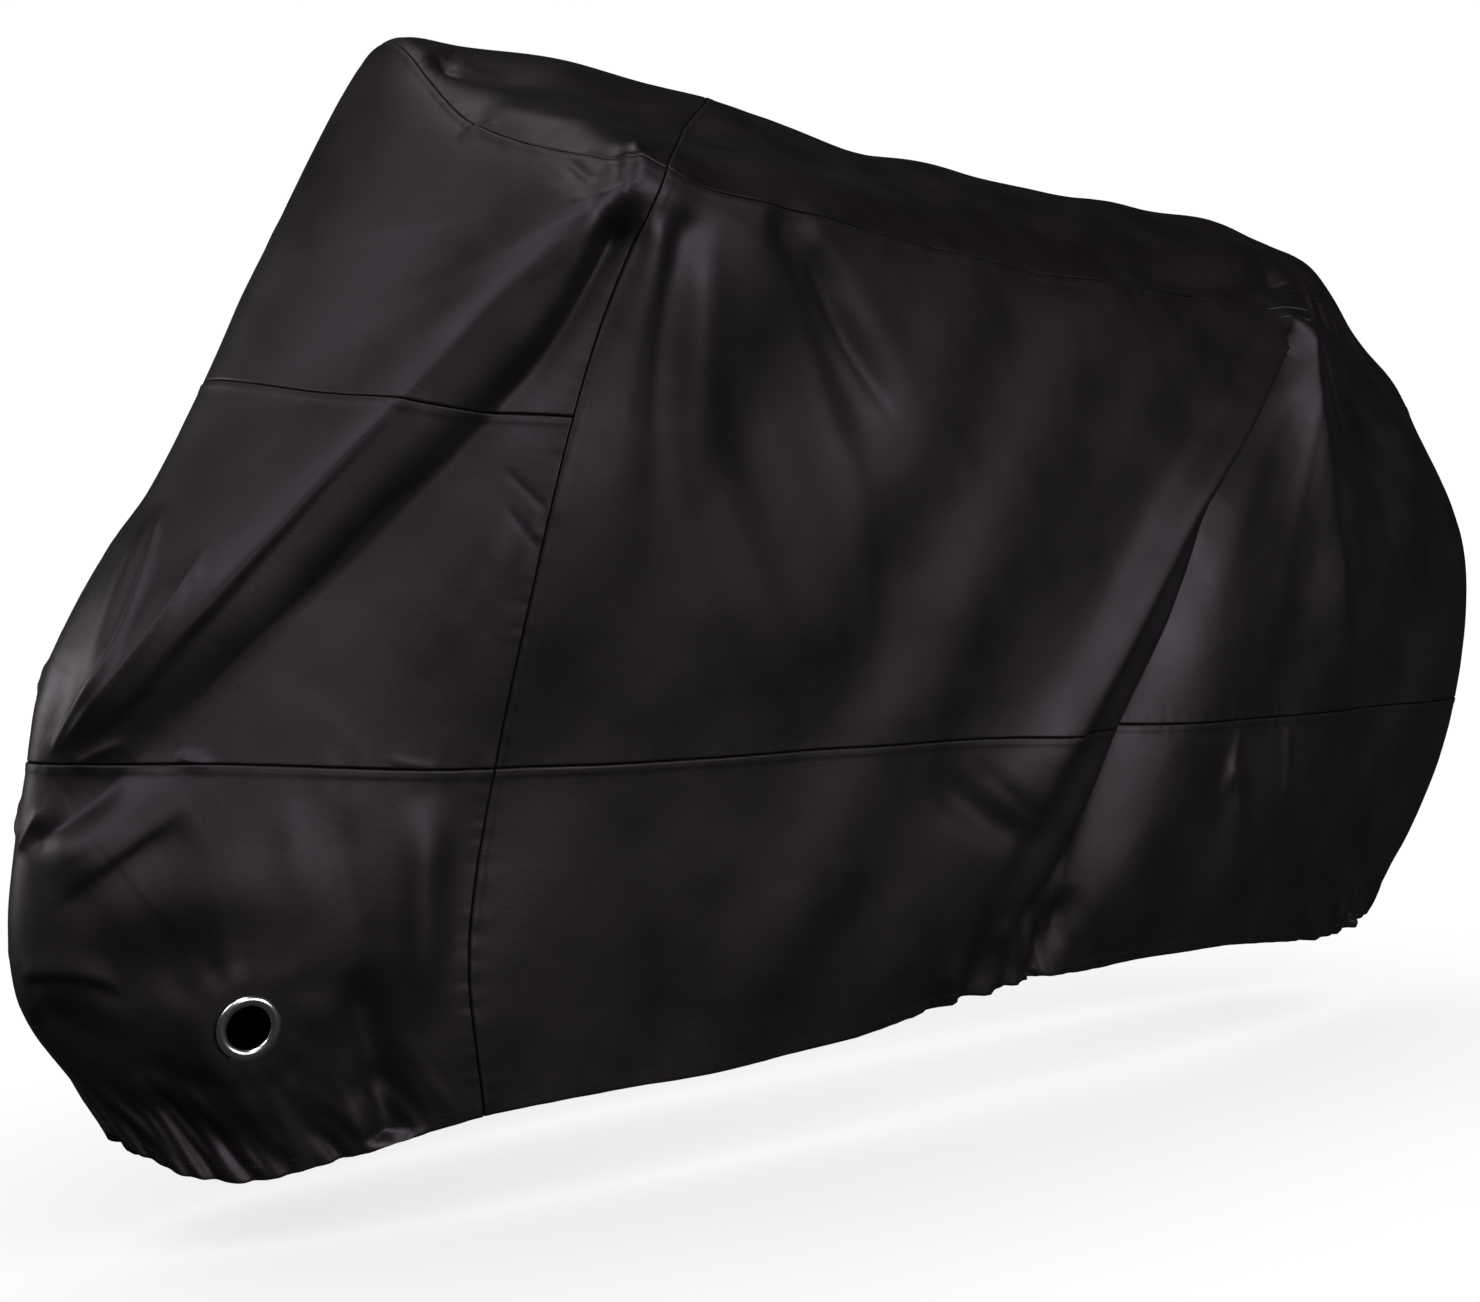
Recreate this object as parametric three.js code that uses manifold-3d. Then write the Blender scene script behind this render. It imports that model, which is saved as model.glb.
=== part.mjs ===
// Motorcycle cover: a fitted, hollow fabric cover in the shape in which it hangs when it is in use.
// Millimetres. X runs from the front to the rear, Y to the right-hand side, Z up.
// Sizes in the tables are measured from a point on the ground under the front, and the whole cover is
// then moved so that the origin lies under its top, where it is held.

import * as THREE from "three";
import Module from "manifold-3d";
import { mergeVertices } from "three/addons/utils/BufferGeometryUtils.js";

// Driving dimensions
const CLOTH = 2.0; // thickness of the coated cloth
const SEAM_GAP = 0.5; // clear gap between two panels along a seam
const HOLD_X = 900; // the place that carries the top, measured back from the zero of the tables
const HOLD_Z = 1184; // its height above the ground, a few millimetres under the cloth
const BELLY_HEIGHT = 650; // height of the belly ring above the ground
const LOW_HEIGHT = 272; // height of the low ring above the ground

const EYELET_STATION = 1.3; // place round the cover, counted in sections from the nose
const EYELET_LEVEL = 6.17; // place down the cover, counted in rings from the ridge
const EYELET_HOLE = 23; // radius of the clear hole
const EYELET_WALL = 1.5; // wall of the tube that joins the two flanges
const EYELET_BACK = 33; // radius of the flange inside the cover
const EYELET_SIDES = 28; // sides of the round eyelet
const EYELET_FLAT = 62; // radius round the eyelet where the cloth lies flat
const EYELET_BLEND = 60; // further distance over which the cloth bends back to its drape
const FIT_GAP = 0.4; // clear gap between the metal and the cloth
const CUT_DEPTH = 30; // length of the round cutter that makes the hole in the cloth

// Front of the eyelet from its edge inwards, as radius and height above the cloth: an outer ring, a
// groove and the rolled rim round the hole.
const EYELET_FACE = [
  { radius: 36, height: FIT_GAP },
  { radius: 35.4, height: 1.6 },
  { radius: 33, height: 2.8 },
  { radius: 30.4, height: 1.8 },
  { radius: 28.2, height: 2.6 },
  { radius: 25.6, height: 3.4 },
  { radius: 23.5, height: 2.4 },
];

// Sections from the nose to the tail, on one side. Each gives the ridge, shoulder seam, chest, belly,
// waist seam, low and hem points as x, half width and height. The ridge lies in the middle and the
// belly and low rings are level. crown lifts the cloth between ridge and shoulder above a straight line.
const SECTIONS = [
  {
    at: "nose", ridge: [125, 1262], crown: 4, shoulder: [74, 0, 1250], chest: [-136, 0, 882],
    belly: [-274, 0], waist: [-336, 0, 502], low: [-350, 0], hem: [-262, 0, 126],
  },
  {
    at: "cheek", ridge: [215, 1256], crown: 26, shoulder: [92, 150, 1143], chest: [-38, 150, 856],
    belly: [-146, 124], waist: [-220, 104, 500], low: [-252, 92], hem: [-176, 74, 74],
  },
  {
    at: "cross seam", ridge: [508, 1245], crown: 0, shoulder: [215, 300, 1089], chest: [138, 250, 842],
    belly: [108, 210], waist: [94, 172, 480], low: [74, 148], hem: [104, 130, 108],
  },
  {
    at: "front body", ridge: [790, 1204], crown: 22, shoulder: [560, 250, 1065], chest: [500, 250, 845],
    belly: [490, 232], waist: [480, 200, 476], low: [470, 176], hem: [470, 152, 112],
  },
  {
    at: "middle", ridge: [1080, 1194], crown: 26, shoulder: [950, 208, 1044], chest: [930, 235, 845],
    belly: [930, 228], waist: [930, 208, 472], low: [920, 190], hem: [900, 154, 146],
  },
  {
    at: "hip", ridge: [1380, 1186], crown: 20, shoulder: [1280, 180, 1048], chest: [1290, 200, 845],
    belly: [1300, 200], waist: [1300, 190, 468], low: [1300, 174], hem: [1290, 148, 148],
  },
  {
    at: "corner", ridge: [1610, 1166], crown: 12, shoulder: [1552, 128, 1074], chest: [1604, 154, 845],
    belly: [1625, 162], waist: [1632, 158, 465], low: [1622, 144], hem: [1620, 114, 122],
  },
  {
    at: "quarter", ridge: [1735, 1142], crown: 6, shoulder: [1835, 66, 962], chest: [1960, 88, 832],
    belly: [2050, 92], waist: [2020, 90, 462], low: [1925, 84], hem: [1812, 72, 132],
  },
  {
    at: "tail", ridge: [1790, 1092], crown: 4, shoulder: [2006, 0, 922], chest: [2070, 0, 820],
    belly: [2118, 0], waist: [2084, 0, 460], low: [1988, 0], hem: [1868, 0, 140],
  },
];
const RINGS = ["ridge", "crown", "shoulder", "chest", "belly", "waist", "low", "hem"];
const CROSS_SEAM = 2; // the section that carries the cross seam
const TAIL = SECTIONS.length - 1;
const SHOULDER = 2; // rings that carry seams
const CHEST = 3;
const WAIST = 5;
const HEM = RINGS.length - 1;

// Folds on the left-hand side, where Y is negative. Each follows a curve from start through middle to
// end, given as [section, ring]. lift is how far it stands out, or sinks in where it is negative, and
// width is its half width at the start and at the end. A fold fades in over the first part of its
// length and out over the last part, as rise and fall say.
const FOLDS = [
  { what: "sweep ridge", start: [1.86, 2.05], middle: [0.86, 3.62], end: [0.3, 5.2],
    lift: 20, width: [26, 48], rise: 0.08, fall: 0.35 },
  { what: "sweep trough", start: [1.93, 2.1], middle: [1.18, 3.78], end: [0.45, 5.4],
    lift: -34, width: [26, 50], rise: 0.08, fall: 0.3 },
  { what: "under the sweep", start: [1.95, 2.5], middle: [1.72, 3.9], end: [1.3, 5.2],
    lift: 12, width: [30, 70], rise: 0.3, fall: 0.5 },
  { what: "peak tuck", start: [1.78, 1.75], middle: [1.84, 1.95], end: [1.9, 2.25],
    lift: 9, width: [12, 16], rise: 0.3, fall: 0.3 },
  { what: "side peak", start: [1.92, 1.9], middle: [1.97, 2.05], end: [2.05, 2.3],
    lift: 12, width: [34, 40], rise: 0.3, fall: 0.4 },
  { what: "nose crease", start: [0.15, 3.5], middle: [0.33, 4.2], end: [0.38, 4.95],
    lift: 7, width: [14, 16], rise: 0.2, fall: 0.3 },
  { what: "nose second crease", start: [0.62, 3.7], middle: [0.5, 4.35], end: [0.35, 5.0],
    lift: 7, width: [14, 16], rise: 0.2, fall: 0.3 },
  { what: "fan ridge by the seam", start: [2.05, 2.2], middle: [2.06, 2.9], end: [2.08, 4.2],
    lift: 10, width: [22, 46], rise: 0.1, fall: 0.5 },
  { what: "fan trough", start: [2.16, 2.1], middle: [2.32, 3.0], end: [2.4, 4.2],
    lift: -11, width: [22, 60], rise: 0.1, fall: 0.5 },
  { what: "fan long ridge", start: [2.24, 2.15], middle: [2.62, 3.5], end: [3.05, 4.95],
    lift: 11, width: [20, 46], rise: 0.15, fall: 0.3 },
  { what: "middle trough", start: [2.46, 2.05], middle: [2.88, 2.52], end: [3.3, 3.3],
    lift: -15, width: [20, 34], rise: 0.15, fall: 0.45 },
  { what: "middle ridge", start: [2.62, 2.05], middle: [3.05, 2.5], end: [3.5, 3.3],
    lift: 9, width: [26, 44], rise: 0.15, fall: 0.45 },
  { what: "flank hollow", start: [3.2, 3.2], middle: [3.3, 4.1], end: [3.4, 4.9],
    lift: -8, width: [70, 90], rise: 0.4, fall: 0.4 },
  { what: "tail ridge", start: [5.66, 2.2], middle: [4.45, 4.1], end: [3.72, 6.1],
    lift: 15, width: [18, 44], rise: 0.08, fall: 0.25 },
  { what: "tail trough", start: [5.72, 2.25], middle: [4.62, 4.15], end: [3.9, 6.7],
    lift: -26, width: [16, 40], rise: 0.08, fall: 0.12 },
  { what: "tail panel", start: [5.8, 2.5], middle: [5.35, 4.0], end: [4.9, 5.6],
    lift: 9, width: [24, 80], rise: 0.3, fall: 0.5 },
  { what: "corner ridge", start: [5.95, 2.2], middle: [5.92, 3.6], end: [6.05, 6.0],
    lift: 13, width: [22, 40], rise: 0.1, fall: 0.4 },
  { what: "corner hollow", start: [6.2, 2.3], middle: [6.3, 3.2], end: [6.4, 5.0],
    lift: -16, width: [30, 60], rise: 0.15, fall: 0.5 },
  { what: "hollow by the tail seam", start: [4.0, 1.8], middle: [4.9, 1.78], end: [5.85, 1.85],
    lift: -17, width: [26, 24], rise: 0.4, fall: 0.1 },
  { what: "hollow behind the apex", start: [0.45, 1.4], middle: [1.0, 1.05], end: [1.6, 0.75],
    lift: -14, width: [24, 40], rise: 0.2, fall: 0.4 },
  { what: "brow", start: [0.95, 1.9], middle: [1.35, 1.72], end: [1.75, 1.7],
    lift: 7, width: [26, 30], rise: 0.3, fall: 0.3 },
  { what: "low front fold", start: [0.2, 5.4], middle: [0.7, 5.25], end: [1.15, 5.08],
    lift: 9, width: [18, 30], rise: 0.2, fall: 0.4 },
  { what: "lower front fold", start: [0.35, 5.68], middle: [0.7, 5.5], end: [1.05, 5.25],
    lift: 8, width: [14, 20], rise: 0.2, fall: 0.4 },
  { what: "low front hollow", start: [0.55, 5.95], middle: [0.95, 5.85], end: [1.3, 5.8],
    lift: -14, width: [34, 44], rise: 0.3, fall: 0.4 },
  { what: "hem hollow", start: [0.65, 6.5], middle: [0.95, 6.72], end: [1.25, 6.9],
    lift: -14, width: [26, 30], rise: 0.3, fall: 0.3 },
  { what: "front pleat", start: [1.78, 5.1], middle: [1.84, 5.7], end: [1.88, 6.4],
    lift: 11, width: [26, 30], rise: 0.3, fall: 0.4 },
  { what: "front pleat hollow", start: [1.62, 5.9], middle: [1.68, 6.4], end: [1.66, 7.0],
    lift: -12, width: [24, 22], rise: 0.3, fall: 0.05 },
  { what: "skirt curl", start: [3.5, 5.08], middle: [3.72, 5.48], end: [4.05, 5.72],
    lift: -9, width: [26, 22], rise: 0.3, fall: 0.4 },
  { what: "skirt gather", start: [3.85, 6.2], middle: [3.95, 6.6], end: [4.0, 7.0],
    lift: 12, width: [18, 24], rise: 0.4, fall: 0.02 },
  { what: "skirt gather hollow", start: [4.2, 6.0], middle: [4.17, 6.5], end: [4.1, 7.0],
    lift: -12, width: [22, 20], rise: 0.4, fall: 0.02 },
  { what: "rear skirt fold", start: [5.05, 5.15], middle: [5.1, 5.6], end: [5.15, 6.1],
    lift: 8, width: [18, 26], rise: 0.3, fall: 0.5 },
  { what: "rear hem hollow", start: [6.1, 5.9], middle: [6.35, 6.4], end: [6.5, 6.95],
    lift: -13, width: [26, 20], rise: 0.3, fall: 0.05 },
];
// The other side is taken to hang in like folds, shifted a little and a little flatter.
const FAR_SHIFT = { section: 0.06, ring: -0.05, lift: 0.85 };
const FOLD_REACH = 2.6; // a fold is felt out to this many times its half width
const FOLD_STEPS = 16; // straight steps along the line of a fold

// Slow waves of the loose cloth: wave lengths along x and z, phase and height. WAVE_TURN lets the two
// sides differ, with a smooth change over that distance from the middle plane.
const WAVE_TURN = 60;
const WAVES = [
  { along: 530, down: 760, phase: 0.4, lift: 2.6 },
  { along: -310, down: 430, phase: 2.1, lift: 2.0 },
  { along: 205, down: -340, phase: 4.4, lift: 1.2 },
];

// Lines on which the panels are faceted, as steps between two sections and between two rings. The
// lines beside the eyelets bound a patch of cloth that lies flat.
const ACROSS = [
  { from: 0, to: 1.18, steps: 5 }, { from: 1.18, to: 1.42, steps: 2 }, { from: 1.42, to: 2, steps: 6 },
  { from: 2, to: 3, steps: 7 }, { from: 3, to: 4, steps: 7 }, { from: 4, to: 5, steps: 7 },
  { from: 5, to: 6, steps: 7 }, { from: 6, to: 7, steps: 6 }, { from: 7, to: 8, steps: 4 },
];
const DOWN = [
  { from: 0, to: 2, steps: 5 }, { from: 2, to: 3, steps: 5 }, { from: 3, to: 4, steps: 4 },
  { from: 4, to: 5, steps: 4 }, { from: 5, to: 5.95, steps: 3 }, { from: 5.95, to: 6.39, steps: 2 },
  { from: 6.39, to: 7, steps: 2 },
];

// How finely the shape is read.
const SLOPE_STEP = 0.02; // step in sections or rings over which a slope of the cloth is measured
const POLE_STEP = 0.1; // distance from the nose or tail end of the ridge at which its facing is read
const SAME_LINE = 1e-6; // two facet lines closer than this are one
const SAME_POINT = 1e-4; // two corners closer than this are one, in millimetres
const SHORTEST_KNOT = 1e-3; // keeps a curve whole where two of its points meet

// One point of a section as x, half width, height.
function sectionPoint(section, ring) {
  const row = section[ring];
  if (ring === "ridge") return new THREE.Vector3(row[0], 0, row[1]);
  if (ring === "belly") return new THREE.Vector3(row[0], row[1], BELLY_HEIGHT);
  if (ring === "low") return new THREE.Vector3(row[0], row[1], LOW_HEIGHT);
  if (ring === "crown") {
    const middle = sectionPoint(section, "ridge").lerp(sectionPoint(section, "shoulder"), 0.5);
    middle.z += section.crown;
    return middle;
  }
  return new THREE.Vector3(...row);
}

const NET = SECTIONS.map((section) => RINGS.map((ring) => sectionPoint(section, ring)));
const mirrored = (p) => new THREE.Vector3(p.x, -p.y, p.z);
const smooth = (v) => v * v * (3 - 2 * v);
const clamp01 = (v) => Math.min(Math.max(v, 0), 1);

// Smooth curve through four points, taken between the second and the third, with knots spaced by the
// square root of the distance so that unequal steps neither overshoot nor loop.
function throughPoints(p0, p1, p2, p3, part) {
  const knot = (a, b) => Math.max(Math.sqrt(a.distanceTo(b)), SHORTEST_KNOT);
  const t1 = knot(p0, p1);
  const t2 = t1 + knot(p1, p2);
  const t3 = t2 + knot(p2, p3);
  const t = t1 + (t2 - t1) * part;
  const mix = (a, b, ta, tb) => a.clone().lerp(b, (t - ta) / (tb - ta));
  const a1 = mix(p0, p1, 0, t1);
  const a2 = mix(p1, p2, t1, t2);
  const a3 = mix(p2, p3, t2, t3);
  const b1 = mix(a1, a2, 0, t2);
  const b2 = mix(a2, a3, t1, t3);
  return mix(b1, b2, t1, t2);
}

// A ring's point between two sections. Past the nose and the tail the curve runs on into the mirrored
// side, so the cover is smooth across its middle plane.
function ringPoint(ring, station) {
  const first = Math.min(Math.floor(station), TAIL - 1);
  const pick = (i) => {
    if (i < 0) return mirrored(NET[-i][ring]);
    if (i > TAIL) return mirrored(NET[2 * TAIL - i][ring]);
    return NET[i][ring];
  };
  return throughPoints(pick(first - 1), pick(first), pick(first + 1), pick(first + 2), station - first);
}

// Station and level with a side: the station runs round the cover from the nose, positive on the left
// and negative on the right, and the level runs down from the ridge. Steps past the nose, the tail or
// the ridge arrive on the other side.
function onCover(station, level) {
  let around = level < 0 ? -station : station;
  if (around > TAIL) around -= 2 * TAIL;
  if (around < -TAIL) around += 2 * TAIL;
  const left = around > 0 || (around === 0 && station > 0);
  return { side: left ? -1 : 1, around: Math.abs(around), down: Math.min(Math.abs(level), HEM) };
}

// The undisturbed drape.
function drapePoint(station, level) {
  const { side, around, down } = onCover(station, level);
  const first = Math.min(Math.floor(down), HEM - 1);
  const pick = (i) => {
    if (i < 0) return mirrored(ringPoint(1, around));
    if (i <= HEM) return ringPoint(i, around);
    return ringPoint(HEM, around).multiplyScalar(2).sub(ringPoint(HEM - 1, around));
  };
  const p = throughPoints(pick(first - 1), pick(first), pick(first + 1), pick(first + 2), down - first);
  p.y *= side;
  return p;
}

// Outward direction of a surface given as a function of station and level.
function outward(surface, station, level) {
  const step = SLOPE_STEP;
  const size = Math.abs(station);
  if (Math.abs(level) < step && (size < step || size > TAIL - step)) {
    const inner = size < step ? POLE_STEP : TAIL - POLE_STEP;
    const left = outward(surface, inner, POLE_STEP);
    const right = outward(surface, -inner, POLE_STEP);
    return left.add(right).normalize();
  }
  const up = level + step > HEM ? HEM - step : level;
  const round = surface(station + step, up).sub(surface(station - step, up));
  const down = surface(station, up + step).sub(surface(station, up - step));
  return down.cross(round).normalize();
}

// The line of a fold as points in space.
function foldLine(fold, sign) {
  const points = [];
  for (let i = 0; i <= FOLD_STEPS; i += 1) {
    const t = i / FOLD_STEPS;
    const weights = [(1 - t) * (1 - 2 * t), 4 * t * (1 - t), t * (2 * t - 1)];
    const at = (column) => weights[0] * fold.start[column] + weights[1] * fold.middle[column]
      + weights[2] * fold.end[column];
    const shift = sign < 0 ? FAR_SHIFT : { section: 0, ring: 0 };
    points.push(drapePoint(sign * (at(0) + shift.section), at(1) + shift.ring));
  }
  return points;
}
const FOLD_LINES = [1, -1].flatMap((sign) => FOLDS.map((fold) => (
  { ...fold, points: foldLine(fold, sign), lift: fold.lift * (sign < 0 ? FAR_SHIFT.lift : 1) }
)));

// How far one fold moves a point of the drape outwards.
function foldLift(fold, p) {
  const reach = FOLD_REACH * Math.max(...fold.width);
  let nearest = reach;
  let along = 0;
  for (let i = 0; i < FOLD_STEPS; i += 1) {
    const a = fold.points[i];
    const run = fold.points[i + 1].clone().sub(a);
    const part = clamp01(p.clone().sub(a).dot(run) / run.lengthSq());
    const away = a.clone().addScaledVector(run, part).distanceTo(p);
    if (away < nearest) {
      nearest = away;
      along = (i + part) / FOLD_STEPS;
    }
  }
  if (nearest >= reach) return 0;
  const width = fold.width[0] + (fold.width[1] - fold.width[0]) * along;
  const fade = smooth(clamp01(along / fold.rise)) * smooth(clamp01((1 - along) / fold.fall));
  return fold.lift * fade * Math.exp(-((nearest / width) ** 2));
}

// The drape with its folds and slow waves.
function foldedPoint(station, level) {
  const p = drapePoint(station, level);
  let lift = 0;
  for (const fold of FOLD_LINES) lift += foldLift(fold, p);
  for (const wave of WAVES) {
    const turn = 2 * Math.PI * (p.x / wave.along + p.z / wave.down) + wave.phase;
    lift += wave.lift * Math.sin(turn + Math.tanh(p.y / WAVE_TURN));
  }
  return p.addScaledVector(outward(drapePoint, station, level), lift);
}

// Seat of each eyelet: its middle on the cloth and the way it faces.
const EYELETS = [
  { name: "eyelet_left", station: EYELET_STATION },
  { name: "eyelet_right", station: -EYELET_STATION },
].map((eyelet) => ({
  ...eyelet,
  middle: foldedPoint(eyelet.station, EYELET_LEVEL),
  facing: outward(drapePoint, eyelet.station, EYELET_LEVEL),
}));

// The finished outer face of the cloth, flat round each eyelet.
function clothPoint(station, level) {
  const p = foldedPoint(station, level);
  for (const { middle, facing } of EYELETS) {
    const offset = p.clone().sub(middle);
    const away = offset.length();
    const hold = 1 - smooth(clamp01((away - EYELET_FLAT) / EYELET_BLEND));
    p.addScaledVector(facing, -hold * offset.dot(facing));
  }
  return p;
}

// The lines of a table of steps that lie between two limits.
function lines(table, low, high) {
  const all = [];
  for (const { from, to, steps } of table) {
    for (let i = 0; i < steps; i += 1) all.push(from + ((to - from) * i) / steps);
  }
  all.push(table[table.length - 1].to);
  return all.filter((v) => v >= low - SAME_LINE && v <= high + SAME_LINE);
}

// The way into a panel from its border at one corner, as a unit vector in the cloth that stands square
// to the seam. along says whether the seam runs round the cover or down it.
function intoPanel(station, level, facing, along, sign) {
  const step = SLOPE_STEP;
  const round = clothPoint(station + step, level).sub(clothPoint(station - step, level));
  const down = clothPoint(station, level + step).sub(clothPoint(station, level - step));
  const seam = along === "round" ? round : down;
  const way = along === "round" ? down : round;
  const square = seam.cross(facing).normalize();
  return square.multiplyScalar(Math.sign(square.dot(way)) * sign);
}

// Outer and inner corner of a panel. On a seam both stand back by half the gap, so that the two panels
// face each other with parallel edges. At the end of a seam they stand back from both seams.
function panelCorner(panel, station, level) {
  const size = Math.abs(station);
  const sign = station < 0 ? -1 : 1;
  const outer = clothPoint(station, level);
  const facing = outward(clothPoint, station, level);
  const ways = [];
  if (size === panel.from && panel.from > 0) ways.push(intoPanel(station, level, facing, "down", sign));
  if (size === panel.to && panel.to < TAIL) ways.push(intoPanel(station, level, facing, "down", -sign));
  if (level === panel.top && panel.top > 0) ways.push(intoPanel(station, level, facing, "round", 1));
  if (level === panel.bottom && level < HEM) ways.push(intoPanel(station, level, facing, "round", -1));
  const share = ways.length === 2 ? 1 + ways[0].dot(ways[1]) : 1;
  for (const way of ways) outer.addScaledVector(way, SEAM_GAP / 2 / share);
  return { outer, inner: outer.clone().addScaledVector(facing, -CLOTH) };
}

// A panel as a thick sheet over both sides of the cover. Left and right join at the ridge, the nose
// and the tail, wherever the panel reaches them. Each quad is split along the diagonal that lies
// closer to the cloth, so that the facets follow the folds.
function clothPanel(panel) {
  const across = lines(ACROSS, panel.from, panel.to);
  const down = lines(DOWN, panel.top, panel.bottom);
  const outer = [];
  const inner = [];
  const known = new Map();
  const corner = (sign, size, level) => {
    const middle = level === 0 || size === 0 || size === TAIL;
    const station = middle ? size : sign * size;
    const key = `${station}/${level}`;
    if (!known.has(key)) {
      const made = panelCorner(panel, station, level);
      known.set(key, outer.length);
      outer.push(made.outer);
      inner.push(made.inner);
    }
    return known.get(key);
  };
  const faces = [];
  for (const sign of [1, -1]) {
    for (let i = 0; i + 1 < across.length; i += 1) {
      for (let j = 0; j + 1 < down.length; j += 1) {
        const a = corner(sign, across[i], down[j]);
        const b = corner(sign, across[i + 1], down[j]);
        const c = corner(sign, across[i + 1], down[j + 1]);
        const d = corner(sign, across[i], down[j + 1]);
        const halfway = (across[i] + across[i + 1]) / 2;
        const middle = clothPoint(sign * halfway, (down[j] + down[j + 1]) / 2);
        const along = outer[a].clone().lerp(outer[c], 0.5).distanceTo(middle);
        const over = outer[b].clone().lerp(outer[d], 0.5).distanceTo(middle);
        const pair = along < over ? [[a, d, c], [a, c, b]] : [[a, d, b], [b, d, c]];
        for (const [u, v, w] of pair) faces.push(sign > 0 ? [u, v, w] : [u, w, v]);
      }
    }
  }
  return thickSheet(outer, inner, faces);
}

// A slanted direction in which no two corners of a seam lie level.
const WALL_ORDER = new THREE.Vector3(1, 0.61, 0.37);

// A closed body from an outer face, its inner twin and a wall along every open edge.
function thickSheet(outer, inner, faces) {
  const count = outer.length;
  const positions = [...outer, ...inner].flatMap((p) => [p.x, p.y, p.z]);
  const index = [];
  const open = new Map();
  for (const [a, b, c] of faces) {
    index.push(a, b, c, a + count, c + count, b + count);
    for (const [from, to] of [[a, b], [b, c], [c, a]]) {
      if (!open.delete(`${to}/${from}`)) open.set(`${from}/${to}`, [from, to]);
    }
  }
  // Two panels that meet run along their seam in opposite directions. Their walls are split along the
  // same diagonal, so that they stay parallel where the cloth twists.
  const order = (p) => p.dot(WALL_ORDER);
  for (const [from, to] of open.values()) {
    if (order(outer[from]) < order(outer[to])) {
      index.push(to, from, from + count, to, from + count, to + count);
    } else {
      index.push(to, from, to + count, from, from + count, to + count);
    }
  }
  const geometry = new THREE.BufferGeometry();
  geometry.setAttribute("position", new THREE.Float32BufferAttribute(positions, 3));
  geometry.setIndex(index);
  return geometry;
}

const wasm = await Module();
wasm.setup();

// A closed geometry as a solid for cutting, and back again.
function toSolid(geometry) {
  const bare = geometry.clone();
  bare.deleteAttribute("normal");
  bare.deleteAttribute("uv");
  const merged = mergeVertices(bare, SAME_POINT);
  return new wasm.Manifold(new wasm.Mesh({
    numProp: 3,
    vertProperties: new Float32Array(merged.attributes.position.array),
    triVerts: new Uint32Array(merged.index.array),
  }));
}

function toGeometry(solid) {
  const mesh = solid.getMesh();
  const geometry = new THREE.BufferGeometry();
  geometry.setAttribute("position", new THREE.BufferAttribute(new Float32Array(mesh.vertProperties), 3));
  geometry.setIndex(new THREE.BufferAttribute(new Uint32Array(mesh.triVerts), 1));
  return geometry;
}

// Turns a shape made round the Y axis so that it sits in an eyelet's seat and faces outwards.
function seat(geometry, eyelet) {
  const turn = new THREE.Quaternion().setFromUnitVectors(new THREE.Vector3(0, 1, 0), eyelet.facing);
  geometry.applyQuaternion(turn);
  geometry.translate(eyelet.middle.x, eyelet.middle.y, eyelet.middle.z);
  return geometry;
}

// The cloth hole that the tube of an eyelet passes through.
function eyeletCut(eyelet) {
  const radius = EYELET_HOLE + EYELET_WALL + FIT_GAP;
  return seat(new THREE.CylinderGeometry(radius, radius, CUT_DEPTH, EYELET_SIDES), eyelet);
}

// An eyelet as one turned profile: flange behind, tube, then the shaped front.
function eyeletBody(eyelet) {
  const tube = EYELET_HOLE + EYELET_WALL;
  const behind = -CLOTH - FIT_GAP;
  const profile = [
    [EYELET_HOLE, behind - EYELET_WALL],
    [EYELET_BACK, behind - EYELET_WALL],
    [EYELET_BACK, behind],
    [tube, behind],
    [tube, FIT_GAP],
    ...EYELET_FACE.map(({ radius, height }) => [radius, height]),
    [EYELET_HOLE, behind - EYELET_WALL],
  ].map(([radius, height]) => new THREE.Vector2(radius, height));
  return seat(new THREE.LatheGeometry(profile, EYELET_SIDES), eyelet);
}

// Panels as cut: sections from and to on each side, and rings top and bottom.
const PANELS = [
  { name: "top_front", from: 0, to: CROSS_SEAM, top: 0, bottom: SHOULDER },
  { name: "top_rear", from: CROSS_SEAM, to: TAIL, top: 0, bottom: SHOULDER },
  { name: "front_upper", from: 0, to: CROSS_SEAM, top: SHOULDER, bottom: CHEST },
  { name: "front_middle", from: 0, to: CROSS_SEAM, top: CHEST, bottom: WAIST },
  { name: "front_lower", from: 0, to: CROSS_SEAM, top: WAIST, bottom: HEM },
  { name: "rear_side", from: CROSS_SEAM, to: TAIL, top: SHOULDER, bottom: WAIST },
  { name: "rear_skirt", from: CROSS_SEAM, to: TAIL, top: WAIST, bottom: HEM },
];

const clothFinish = () => new THREE.MeshStandardMaterial({
  color: 0x161517, roughness: 0.5, metalness: 0, name: "coated_cloth",
});
const metalFinish = () => new THREE.MeshStandardMaterial({
  color: 0xc4c5c8, roughness: 0.2, metalness: 1, name: "polished_metal",
});

const cover = new THREE.Group();
cover.name = "motorcycle_cover";
cover.position.set(-HOLD_X, 0, -HOLD_Z);

function addPiece(name, geometry, material) {
  geometry.computeVertexNormals();
  const mesh = new THREE.Mesh(geometry, material);
  mesh.name = name;
  cover.add(mesh);
}

for (const panel of PANELS) {
  let geometry = clothPanel(panel);
  if (panel.name === "front_lower") {
    let solid = toSolid(geometry);
    for (const eyelet of EYELETS) solid = solid.subtract(toSolid(eyeletCut(eyelet)));
    geometry = toGeometry(solid);
  }
  addPiece(panel.name, geometry, clothFinish());
}
for (const eyelet of EYELETS) {
  addPiece(eyelet.name, eyeletBody(eyelet), metalFinish());
}

export default cover;
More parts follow.
